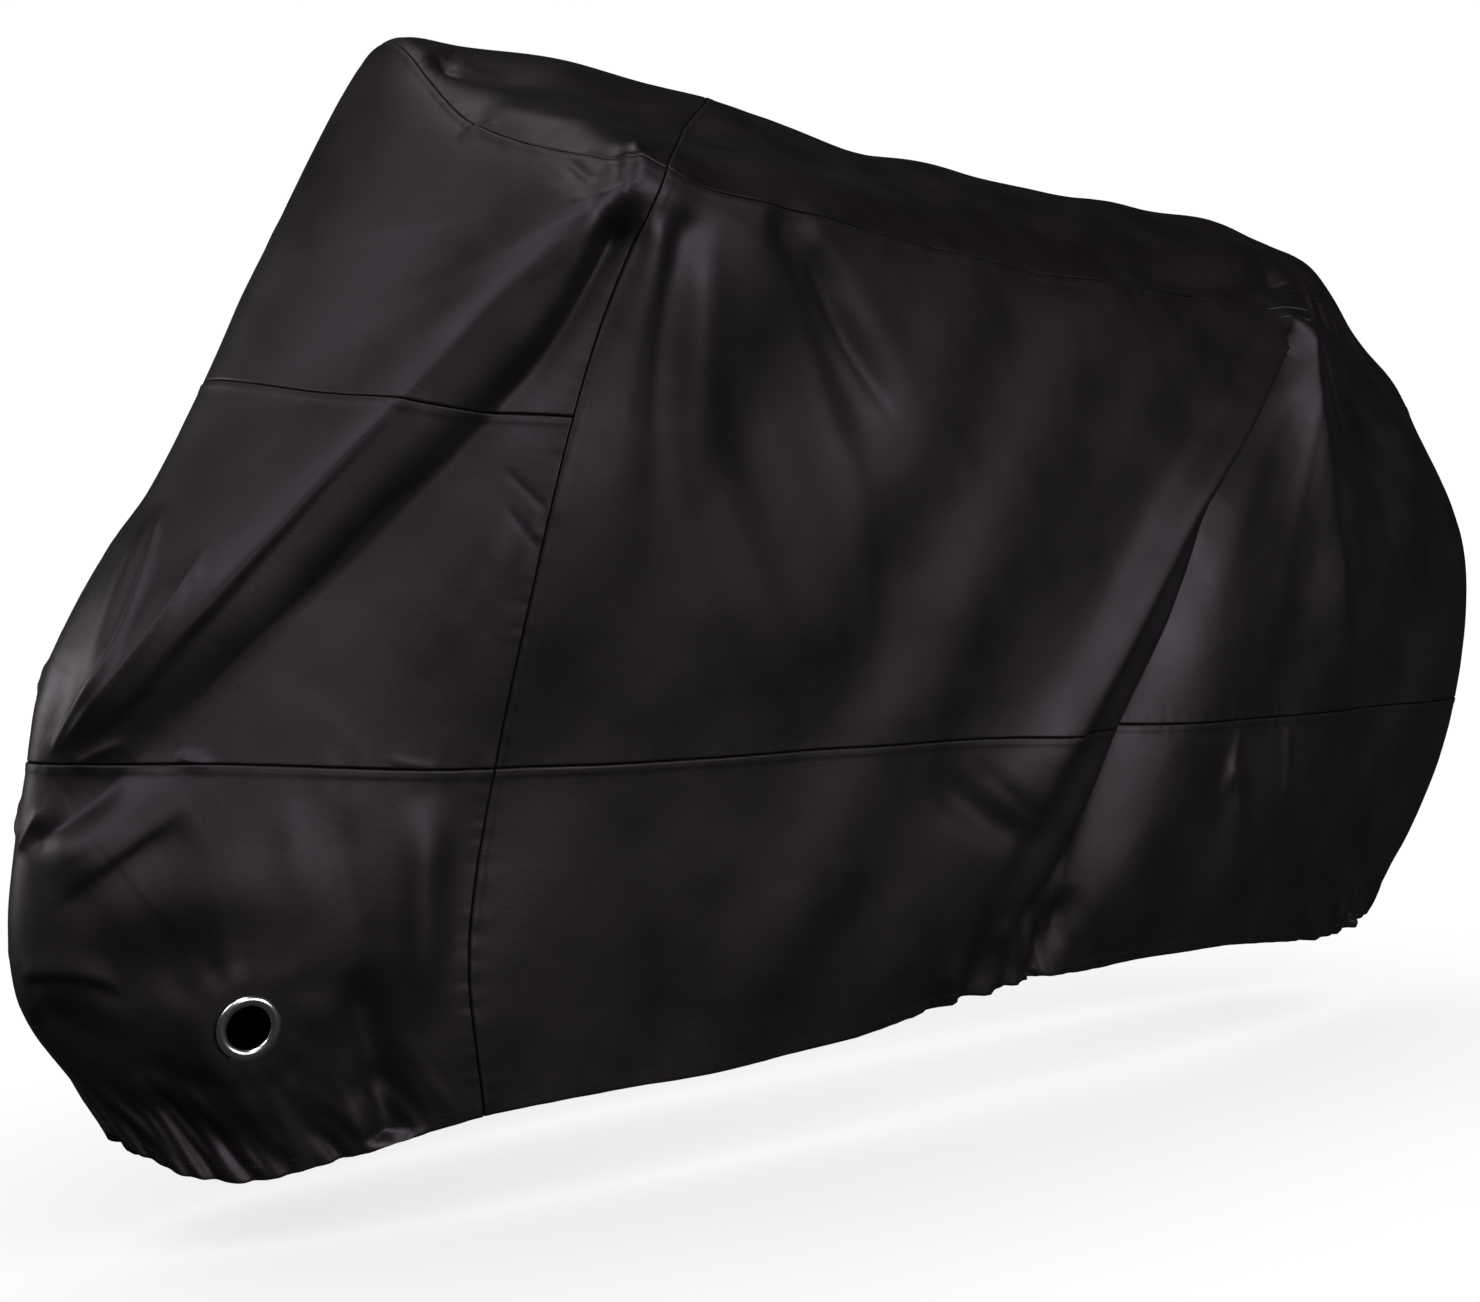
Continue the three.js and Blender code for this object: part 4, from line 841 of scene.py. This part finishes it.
def new_tree(name, sizes, counts=()):
    """A geometry tree with a geometry in and out, and an input for each size, count and material."""
    tree = bpy.data.node_groups.new(name, "GeometryNodeTree")
    tree.is_modifier = True
    kinds = {"Geometry": "Geometry", **dict.fromkeys(sizes, "Float"), **dict.fromkeys(counts, "Int"),
             "Material": "Material"}
    for label, kind in kinds.items():
        tree.interface.new_socket(label, in_out="INPUT", socket_type="NodeSocket" + kind)
    tree.interface.new_socket("Geometry", in_out="OUTPUT", socket_type="NodeSocketGeometry")
    return tree, add_node(tree, "NodeGroupInput").outputs


def finish_tree(tree, geometry, material):
    """Every tree ends by making its instances real and giving them their material."""
    real = add_node(tree, "GeometryNodeRealizeInstances", {0: geometry})
    paint = add_node(tree, "GeometryNodeSetMaterial",
                     {"Geometry": real.outputs[0], "Material": material})
    add_node(tree, "NodeGroupOutput", {0: paint.outputs[0]})
    return tree


def run_tree(piece, tree, values):
    """Sets the inputs of a tree by their identifiers, runs it, and keeps the result as a plain mesh."""
    modifier = piece.modifiers.new(tree.name, "NODES")
    modifier.node_group = tree
    for item in tree.interface.items_tree:
        if item.item_type == "SOCKET" and item.in_out == "INPUT" and item.name in values:
            modifier[item.identifier] = values[item.name]
    bpy.context.view_layer.update()
    graph = bpy.context.evaluated_depsgraph_get()
    mesh = bpy.data.meshes.new_from_object(piece.evaluated_get(graph))
    mesh.name = piece.name
    piece.modifiers.remove(modifier)
    piece.data = mesh


# %% Tree for the gathered hem
GATHER_TALL = 3.5  # a gather is this many times as tall as it is wide
GATHER_GAIN = 3.4  # brings the noise, which stays near its middle, to about -1 and 1


def gathered_hem_tree():
    tree, given = new_tree("gathered_hem", ("Pitch", "Depth", "Rise", "Slant", "Seed"))

    def work_out(operation, *values):
        return math_node(tree, operation, *values)

    place, height = read_attribute(tree, "hem_place"), read_attribute(tree, "hem_height")
    slanted = work_out("ADD", place, work_out("MULTIPLY", height, given["Slant"]))
    across = work_out("DIVIDE", slanted, given["Pitch"])
    upward = work_out("DIVIDE", height, work_out("MULTIPLY", given["Pitch"], GATHER_TALL))
    where = add_node(tree, "ShaderNodeCombineXYZ", {0: across, 1: upward, 2: given["Seed"]})
    noise = noise_node(tree, where.outputs[0], 1.0, 1.0)
    swing = work_out("MULTIPLY", work_out("SUBTRACT", noise, 0.5), GATHER_GAIN)
    share = work_out("DIVIDE", height, given["Rise"])
    fade = work_out("EXPONENT", work_out("MULTIPLY", work_out("MULTIPLY", share, share), -1))
    depth = work_out("MULTIPLY", work_out("MULTIPLY", swing, fade),
                     work_out("MULTIPLY", read_attribute(tree, "gather"), given["Depth"]))
    offset = add_node(tree, "ShaderNodeVectorMath",
                      {0: read_attribute(tree, "facing", "FLOAT_VECTOR"), "Scale": depth},
                      operation="SCALE")
    move = add_node(tree, "GeometryNodeSetPosition",
                    {"Geometry": given["Geometry"], "Offset": offset.outputs[0]})
    return finish_tree(tree, move.outputs[0], given["Material"])


HEM_TREE = gathered_hem_tree()
HEM_VALUES = {"Pitch": 0.034, "Depth": 0.0095, "Rise": 0.085, "Slant": 0.35, "Seed": 4.0}

# %% [markdown]
# ## Finishes
# The cloth is plain-woven polyester under a smooth waterproof coat. Its colour is nearly black, and
# what the eye reads is the satin gloss on the folds. So the finish is a dark base with a wide, soft
# gloss, a weave as bump, and a gloss that changes a little from patch to patch where the coat was
# handled. Everything follows the flat coordinates of the cloth, so the pattern bends with the folds.

# %% Coated cloth
CLOTH_COLOUR = (0.0036, 0.0022, 0.0036, 1)
CLOTH_WORN = (0.0066, 0.0045, 0.0066, 1)
GLOSS_TINT = (1.0, 0.88, 1.0, 1)
CLOTH_ROUGHNESS = (0.42, 0.58)
WEAVE_PITCH = 0.0009 * math.pi
WAVE_LENGTH = math.pi / 10  # of the wave texture at scale 1
COAT_SCALE, COAT_DETAIL = 160, 3
PATCH_SCALE, PATCH_DETAIL = 9, 6
PATCH_SPREAD = (0.3, 0.7)


def new_material(name, inputs):
    """A material whose even values are set on the shader's own sockets."""
    material = bpy.data.materials.new(name)
    material.use_nodes = True
    skin = material.node_tree.nodes["Principled BSDF"]
    for socket, value in inputs.items():
        skin.inputs[socket].default_value = value
    return material, material.node_tree, skin.inputs


def remap_node(tree, value, low, high, start=0.0, end=1.0):
    """Turns values between start and end into values between low and high."""
    return add_node(tree, "ShaderNodeMapRange", {
        "Value": value, "From Min": start, "From Max": end, "To Min": low, "To Max": high}).outputs[0]


def coated_cloth():
    material, tree, skin = new_material("coated_cloth", {"IOR": 1.5, "Specular Tint": GLOSS_TINT})
    flat = add_node(tree, "ShaderNodeUVMap", uv_map="flat").outputs[0]
    inputs = {"Vector": flat, "Scale": WAVE_LENGTH / WEAVE_PITCH, "Distortion": 0.0}
    waves = [add_node(tree, "ShaderNodeTexWave", inputs, bands_direction=way, wave_profile="SIN")
             for way in ("X", "Y")]
    weave = math_node(tree, "MAXIMUM", *(wave.outputs["Fac"] for wave in waves))
    coat = noise_node(tree, flat, COAT_SCALE, COAT_DETAIL)
    patches = noise_node(tree, flat, PATCH_SCALE, PATCH_DETAIL)
    plug(tree, skin["Roughness"], remap_node(tree, patches, *CLOTH_ROUGHNESS, *PATCH_SPREAD))
    colour = add_node(tree, "ShaderNodeMix",
                      {"A": CLOTH_COLOUR, "B": CLOTH_WORN, "Factor": patches}, data_type="RGBA")
    plug(tree, skin["Base Color"], colour.outputs["Result"])
    rough = add_node(tree, "ShaderNodeBump", {"Height": coat, "Strength": 0.25, "Distance": 0.0006})
    woven = add_node(tree, "ShaderNodeBump", {"Height": weave, "Strength": 0.2, "Distance": 0.0001,
                                              "Normal": rough.outputs[0]})
    plug(tree, skin["Normal"], woven.outputs[0])
    return material


CLOTH = coated_cloth()

# %% Polished metal and thread
METAL_ROUGHNESS = (0.17, 0.27)
SMEAR_SCALE, SMEAR_DETAIL = 90, 3


def polished_metal():
    material, tree, skin = new_material("polished_metal",
                                        {"Base Color": (0.82, 0.82, 0.84, 1), "Metallic": 1})
    place = add_node(tree, "ShaderNodeTexCoord").outputs["Object"]
    smears = noise_node(tree, place, SMEAR_SCALE, SMEAR_DETAIL)
    plug(tree, skin["Roughness"], remap_node(tree, smears, *METAL_ROUGHNESS))
    return material


METAL = polished_metal()
THREAD = new_material("sewing_thread", {"Base Color": (0.022, 0.021, 0.023, 1), "Roughness": 0.45})[0]

# %% [markdown]
# ## The cloth sheets
# The grid of each panel becomes a mesh of quads. The top panels meet themselves along the ridge, so
# doubled points are merged. The hem is gathered before that, and a Solidify modifier gives the sheet
# its thickness towards the inside.

# %% Build the sheets
SHEET_THICKNESS = 0.0011
HOLE_EDGE = 25.6
MERGE_WITHIN = 1e-6


def smooth_faces(mesh):
    mesh.polygons.foreach_set("use_smooth", np.ones(len(mesh.polygons), bool))


def write_attribute(mesh, name, values, kind="FLOAT"):
    attribute = mesh.attributes.new(name, kind, "POINT")
    key = "vector" if kind == "FLOAT_VECTOR" else "value"
    attribute.data.foreach_set(key, values.astype(np.float32).ravel())


def write_hem_attributes(mesh, stations, above, facing):
    """What the tree for the hem reads at each point."""
    write_attribute(mesh, "hem_place", hem_distance(stations) / 1000)
    write_attribute(mesh, "hem_height", above / 1000)
    write_attribute(mesh, "gather", gather_strength(stations))
    write_attribute(mesh, "facing", facing, "FLOAT_VECTOR")


def cut_eyelet_holes(points, faces):
    """Leaves out the quads under the metal and pulls the cut edge to a clean circle."""
    for eyelet in eyelets:
        offset = points - eyelet["middle"]
        away = np.linalg.norm(offset, axis=1)
        faces = faces[(away[faces].max(axis=1) > HOLE_EDGE)]
        used = np.zeros(len(points), bool)
        used[faces.ravel()] = True
        rim = used & (away < HOLE_EDGE)
        flat = offset[rim] - (offset[rim] @ eyelet["facing"])[:, None] * eyelet["facing"]
        points[rim] = eyelet["middle"] + unit(flat) * HOLE_EDGE
    return points, faces


def cloth_sheet(panel):
    grid = grids[panel["name"]]
    columns, rows = grid["points"].shape[:2]
    points = grid["points"].reshape(-1, 3).copy()
    index = np.arange(columns * rows).reshape(columns, rows)
    faces = np.stack([index[:-1, :-1], index[1:, :-1], index[1:, 1:], index[:-1, 1:]], axis=-1)
    faces = faces.reshape(-1, 4)
    if panel["name"] == "front_lower":
        points, faces = cut_eyelet_holes(points, faces)
    mesh = bpy.data.meshes.new(panel["name"] + "_cloth")
    mesh.from_pydata((points - HOLD) / 1000, [], faces.tolist())
    flat = (grid["flat"].reshape(-1, 2) / 1000)[faces.ravel()]
    mesh.uv_layers.new(name="flat").data.foreach_set("uv", flat.astype(np.float32).ravel())
    smooth_faces(mesh)
    piece = new_object(mesh.name, mesh)
    above = grid["above"] if grid["hem"] else np.full(grid["above"].shape, NO_HEM)
    write_hem_attributes(mesh, grid["stations"], above, grid["facing"])
    run_tree(piece, HEM_TREE, {**HEM_VALUES, "Material": CLOTH})
    return piece


def tidy_sheet(mesh):
    """Merges doubled points, drops loose ones and turns every face outwards."""
    work = bmesh.new()
    work.from_mesh(mesh)
    bmesh.ops.remove_doubles(work, verts=work.verts, dist=MERGE_WITHIN)
    bmesh.ops.delete(work, geom=[v for v in work.verts if not v.link_faces], context="VERTS")
    work.normal_update()
    work.to_mesh(mesh)
    work.free()
    facing, normals = np.zeros((2, len(mesh.vertices) * 3), np.float32)
    mesh.attributes["facing"].data.foreach_get("vector", facing)
    mesh.vertices.foreach_get("normal", normals)
    agreement = float((facing * normals).reshape(-1, 3).sum(axis=1).mean())
    if agreement < 0:
        mesh.flip_normals()
    return agreement


sheets = {}
for panel in PANELS:
    piece = cloth_sheet(panel)
    agreement = tidy_sheet(piece.data)
    solid = piece.modifiers.new("thickness", "SOLIDIFY")
    solid.thickness = SHEET_THICKNESS
    solid.offset = -1
    sheets[panel["name"]] = piece
    print(piece.name, len(piece.data.polygons), "quads, facing", round(agreement, 2))

# %% [markdown]
# ## Stitching
# Every seam is sewn down by a row of stitches a few millimetres beside it, and so is the hem. A stitch
# is a short grain of thread. One could place each by hand, but a row of them follows a rule: the tree
# takes a line of points that lies on the cloth, walks along it in equal steps and sets a grain at each
# one, turned along the line and up from the cloth. The same tree, with short steps and wide grains,
# makes the two bar tacks at the tail.

# %% Tree for a row of stitches


def stitch_tree():
    tree, given = new_tree("stitch_row", ("Pitch", "Length", "Width", "Height"))
    line = add_node(tree, "GeometryNodeMeshToCurve", {"Mesh": given["Geometry"]})
    steps = add_node(tree, "GeometryNodeResampleCurve",
                     {"Curve": line.outputs[0], "Length": given["Pitch"]}, mode="LENGTH")
    grain = add_node(tree, "GeometryNodeMeshIcoSphere", {"Radius": 0.5})
    tangent = add_node(tree, "GeometryNodeInputTangent")
    along = add_node(tree, "FunctionNodeAlignRotationToVector",
                     {"Vector": tangent.outputs[0]}, axis="X")
    upright = add_node(tree, "FunctionNodeAlignRotationToVector",
                       {"Rotation": along.outputs[0],
                        "Vector": read_attribute(tree, "facing", "FLOAT_VECTOR")},
                       axis="Z", pivot_axis="X")
    size = add_node(tree, "ShaderNodeCombineXYZ",
                    {0: given["Length"], 1: given["Width"], 2: given["Height"]})
    sown = add_node(tree, "GeometryNodeInstanceOnPoints",
                    {"Points": steps.outputs[0], "Instance": grain.outputs[0],
                     "Rotation": upright.outputs[0], "Scale": size.outputs[0]})
    return finish_tree(tree, sown.outputs[0], given["Material"])


STITCH_TREE = stitch_tree()

# %% Lines that the stitches follow
THREAD_ROW = 3  # the stitches run along this line of the grid, counted from the seam
THREAD_RISE = 0.12
TURNED_ROWS = len(HEM_TURN) + len(HEM_RISE)
HEM_SEWN = 14
HEM_ROW = -TURNED_ROWS - 1 - int(np.argmin(np.abs(HEM_STEPS - HEM_SEWN)))


def line_down(name, column):
    """One line of a panel's grid from its top to its lower edge, without the part turned in."""
    grid = grids[name]
    last = grid["above"].shape[1] - (TURNED_ROWS if grid["hem"] else 0)
    return grid, (column, slice(THREAD_ROW, last - THREAD_ROW))


def line_round(name, row=THREAD_ROW):
    """One line of a panel's grid that runs round the cover."""
    return grids[name], (slice(THREAD_ROW, -THREAD_ROW), row)


SEAM_ROWS = {
    "top_seam_stitches": [line_round("front_upper"), line_round("rear_side")],
    "chest_seam_stitches": [line_round("front_middle")],
    "waist_seam_stitches": [line_round("front_lower"), line_round("rear_skirt")],
    "cross_seam_stitches": [line_down(name, column) for name in ("top_rear", "rear_side", "rear_skirt")
                            for column in (THREAD_ROW, -1 - THREAD_ROW)],
    "hem_stitches": [line_round("front_lower", HEM_ROW), line_round("rear_skirt", HEM_ROW)],
}
STITCH = {"Pitch": 0.0042, "Length": 0.0031, "Width": 0.0007, "Height": 0.0006}


def thread_piece(name, lines, values):
    """Rows of stitches along lines of points, which the hem tree moves first, as it moved the cloth."""
    joined = {key: [] for key in ("points", "facing", "stations", "above")}
    edges, count = [], 0
    for grid, where in lines:
        for key in joined:
            joined[key].append(np.asarray(grid[key])[where])
        length = len(joined["points"][-1])
        edges += [(count + i, count + i + 1) for i in range(length - 1)]
        count += length
    points, facing, stations, above = (np.concatenate(parts) for parts in joined.values())
    mesh = bpy.data.meshes.new(name)
    mesh.from_pydata((points + facing * THREAD_RISE - HOLD) / 1000, edges, [])
    write_hem_attributes(mesh, stations, above, facing)
    piece = new_object(name, mesh)
    run_tree(piece, HEM_TREE, {**HEM_VALUES, "Material": THREAD})
    run_tree(piece, STITCH_TREE, {**values, "Material": THREAD})
    smooth_faces(piece.data)
    return piece


threads = [thread_piece(name, lines, STITCH) for name, lines in SEAM_ROWS.items()]

# %% Bar tacks
TACKS = [[(5.46, 2.16), (5.93, 2.17)], [(5.58, 2.225), (5.93, 2.235)]]
TACK_STITCH = {"Pitch": 0.0009, "Length": 0.0008, "Width": 0.0032, "Height": 0.0011}
TACK_POINTS = 12
NEAR_BLEND = 0.5  # evens out the weights of the nearest points, in millimetres


def on_the_cloth(station, level):
    """Points on the finished cloth of the rear side, read from the nearest lines of its grid."""
    grid = grids["rear_side"]
    found = []
    for place in drape(station, level):
        away = np.linalg.norm(grid["plain"] - place, axis=2)
        column, row = np.unravel_index(away.argmin(), away.shape)
        near = np.s_[max(column - 1, 0):column + 2, max(row - 1, 0):row + 2]
        weight = 1 / (away[near] + NEAR_BLEND)
        found.append((grid["points"][near] * weight[..., None]).sum((0, 1)) / weight.sum())
    return np.array(found)


def tack_line(start, end):
    """A short line on the cloth from one place to the other."""
    station, level = np.linspace(start, end, TACK_POINTS).T
    return {"points": on_the_cloth(station, level), "facing": outward(station, level),
            "stations": station, "above": np.full(TACK_POINTS, NO_HEM)}, slice(None)


threads.append(thread_piece("bar_tacks", [tack_line(*ends) for ends in TACKS], TACK_STITCH))
for piece in threads:
    print(piece.name, len(piece.data.polygons), "faces")

# %% [markdown]
# ## Eyelets
# An eyelet is a turned metal ring: an outer flange, a groove, and a rim that is rolled over the cut
# edge of the cloth. Anything turned is a profile swept round a circle, and Geometry Nodes do just
# that: the profile is the mesh that the tree receives, and the circle is made inside.

# %% Tree that sweeps a profile round a circle


def turned_ring_tree():
    tree, given = new_tree("turned_ring", ("Radius",), ("Sides",))
    outline = add_node(tree, "GeometryNodeMeshToCurve", {"Mesh": given["Geometry"]})
    circle = add_node(tree, "GeometryNodeCurvePrimitiveCircle",
                      {"Radius": given["Radius"], "Resolution": given["Sides"]})
    sweep = add_node(tree, "GeometryNodeCurveToMesh",
                     {"Curve": circle.outputs[0], "Profile Curve": outline.outputs[0]})
    return finish_tree(tree, sweep.outputs[0], given["Material"])


RING_TREE = turned_ring_tree()

# %% Two eyelet rings
# The closed profile as radius and height above the cloth in millimetres: from the inside of the hole
# over the rolled rim, the groove and the outer flange, and back behind the cloth.
RING_PROFILE = [
    (23.0, -3.6), (23.0, 0.6), (23.1, 1.6), (23.5, 2.5), (24.2, 3.1), (25.1, 3.45), (26.0, 3.45),
    (26.9, 3.1), (27.5, 2.4), (27.8, 1.4), (28.2, 0.7), (29.0, 0.5), (29.8, 0.7), (30.2, 1.4),
    (31.0, 2.3), (31.9, 2.7), (33.0, 2.85), (34.1, 2.65), (35.0, 2.1), (35.6, 1.3), (35.9, 0.5),
    (35.9, 0.12), (24.6, 0.12), (24.6, -2.2), (33.0, -2.2), (33.0, -3.6),
]
RING_RADIUS = 0.0295
RING_SIDES = 112


def eyelet_ring(eyelet):
    count = len(RING_PROFILE)
    profile = bpy.data.meshes.new("profile")
    profile.from_pydata([(r / 1000 - RING_RADIUS, h / 1000, 0) for r, h in RING_PROFILE],
                        [(i, (i + 1) % count) for i in range(count)], [])
    ring = new_object(eyelet["name"] + "_ring", profile)
    run_tree(ring, RING_TREE, {"Radius": RING_RADIUS, "Sides": RING_SIDES, "Material": METAL})
    heights = [v.co.z for v in ring.data.vertices]
    radii = [math.hypot(v.co.x, v.co.y) for v in ring.data.vertices]
    print(ring.name, "height", round(min(heights), 4), round(max(heights), 4),
          "radius", round(min(radii), 4), round(max(radii), 4))
    turn = Vector((0, 0, 1)).rotation_difference(Vector(eyelet["facing"])).to_matrix().to_4x4()
    ring.data.transform(Matrix.Translation(Vector((eyelet["middle"] - HOLD) / 1000)) @ turn)
    work = bmesh.new()
    work.from_mesh(ring.data)
    bmesh.ops.recalc_face_normals(work, faces=work.faces)
    work.to_mesh(ring.data)
    work.free()
    smooth_faces(ring.data)
    return ring


rings = {eyelet["name"]: eyelet_ring(eyelet) for eyelet in eyelets}

# %% [markdown]
# ## Studio
# A black satin thing shows what it mirrors, so the lights are what draws the folds. They are soft
# boxes: two low ones and a high one for the side that is seen, one at the front, one beyond the nose
# for its rim, one for the far side and one overhead. The floor and the air look pale to the camera, but
# they hardly light the cloth, which keeps its folds dark. The soft shadow under the cover is painted
# shadow: ambient occlusion darkens the floor's glow there.

# %% Floor and air
FLOOR_WHITE = 1.02
# FLOOR_SHADE and SHADE_REACH set the painted shadow: how dark the floor's glow gets under the cover,
# and how far the occlusion looks
FLOOR_SHADE = 0.62
SHADE_REACH = 0.75
FLOOR_BOUNCE = 0.025
AIR_GLOW = 0.01


def bare_tree(owner):
    owner.use_nodes = True
    owner.node_tree.nodes.clear()
    return owner.node_tree


def seen_and_glow(tree, seen, glow):
    """Mixes two strengths: one for what the camera sees, and a dim one that lights the cloth."""
    path = add_node(tree, "ShaderNodeLightPath")
    pick = add_node(tree, "ShaderNodeMix",
                    {"Factor": path.outputs["Is Camera Ray"], "A": glow, "B": seen}, data_type="FLOAT")
    return pick.outputs["Result"]


paint = bpy.data.materials.new("pale_floor")
tree = bare_tree(paint)
# painted shadow: ambient occlusion darkens the floor's glow under and near the cover, from FLOOR_WHITE
# down to FLOOR_SHADE
painted_shadow_occlusion = add_node(tree, "ShaderNodeAmbientOcclusion", {"Distance": SHADE_REACH}, samples=16)
shade = remap_node(tree, painted_shadow_occlusion.outputs["AO"], FLOOR_SHADE, FLOOR_WHITE)
shine = add_node(tree, "ShaderNodeEmission", {"Strength": seen_and_glow(tree, shade, FLOOR_BOUNCE)})
add_node(tree, "ShaderNodeOutputMaterial", {"Surface": shine.outputs[0]})
floor_mesh = bpy.data.meshes.new("floor")
corners = [(x * FLOOR_RADIUS, y * FLOOR_RADIUS, FLOOR_Z)
           for x, y in ((-1, -1), (1, -1), (1, 1), (-1, 1))]
floor_mesh.from_pydata(corners, [], [(0, 1, 2, 3)])
floor_mesh.materials.append(paint)
floor = new_object("floor", floor_mesh)

scene.world = bpy.data.worlds.new("air")
tree = bare_tree(scene.world)
air = add_node(tree, "ShaderNodeBackground",
               {"Color": (1, 1, 1, 1), "Strength": seen_and_glow(tree, FLOOR_WHITE, AIR_GLOW)})
add_node(tree, "ShaderNodeOutputWorld", {"Surface": air.outputs[0]})

# %% Lamps
# Each soft box faces the middle of the cover. turn is its direction, counted from the rear towards the
# right-hand side, rise is its height as an angle, size is its width in metres and power is in watts.
LAMP_TARGET = Vector((0, 0, -0.4))
LAMP_AWAY = 5.0
LAMPS = [
    {"name": "left_lamp", "turn": 285, "rise": 7, "size": 2.2, "power": 60},
    {"name": "low_left_lamp", "turn": 262, "rise": 6, "size": 1.8, "power": 30},
    {"name": "high_left_lamp", "turn": 240, "rise": 35, "size": 2.2, "power": 58},
    {"name": "front_lamp", "turn": 200, "rise": 25, "size": 2.0, "power": 40},
    {"name": "rim_lamp", "turn": 150, "rise": 10, "size": 2.2, "power": 80},
    {"name": "far_lamp", "turn": 62, "rise": 4, "size": 2.4, "power": 45},
    {"name": "top_lamp", "turn": 180, "rise": 75, "size": 2.4, "power": 50},
]
for row in LAMPS:
    lamp = bpy.data.lights.new(row["name"], "AREA")
    lamp.shape = "SQUARE"
    lamp.size = row["size"]
    lamp.energy = row["power"]
    turn, rise = math.radians(row["turn"]), math.radians(row["rise"])
    way = Vector((math.cos(turn) * math.cos(rise), math.sin(turn) * math.cos(rise), math.sin(rise)))
    holder = new_object(row["name"], lamp)
    holder.location = LAMP_TARGET + way * LAMP_AWAY
    holder.rotation_euler = (-way).to_track_quat("-Z", "Y").to_euler()
scene.view_settings.view_transform = "Standard"
scene.view_settings.look = "None"
print(len(LAMPS), "lamps")

# %% [markdown]
# ## Hang the pieces under the cover
# Every sheet, row of stitches and ring is hung under one empty for the whole cover, and the faceted
# part that a sheet or a ring stands for is hidden.

for panel in PANELS:
    piece = sheets[panel["name"]]
    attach(piece, "root")
    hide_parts(panel["name"])
for piece in threads:
    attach(piece, "root")
for name, ring in rings.items():
    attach(ring, "root")
    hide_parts(name)
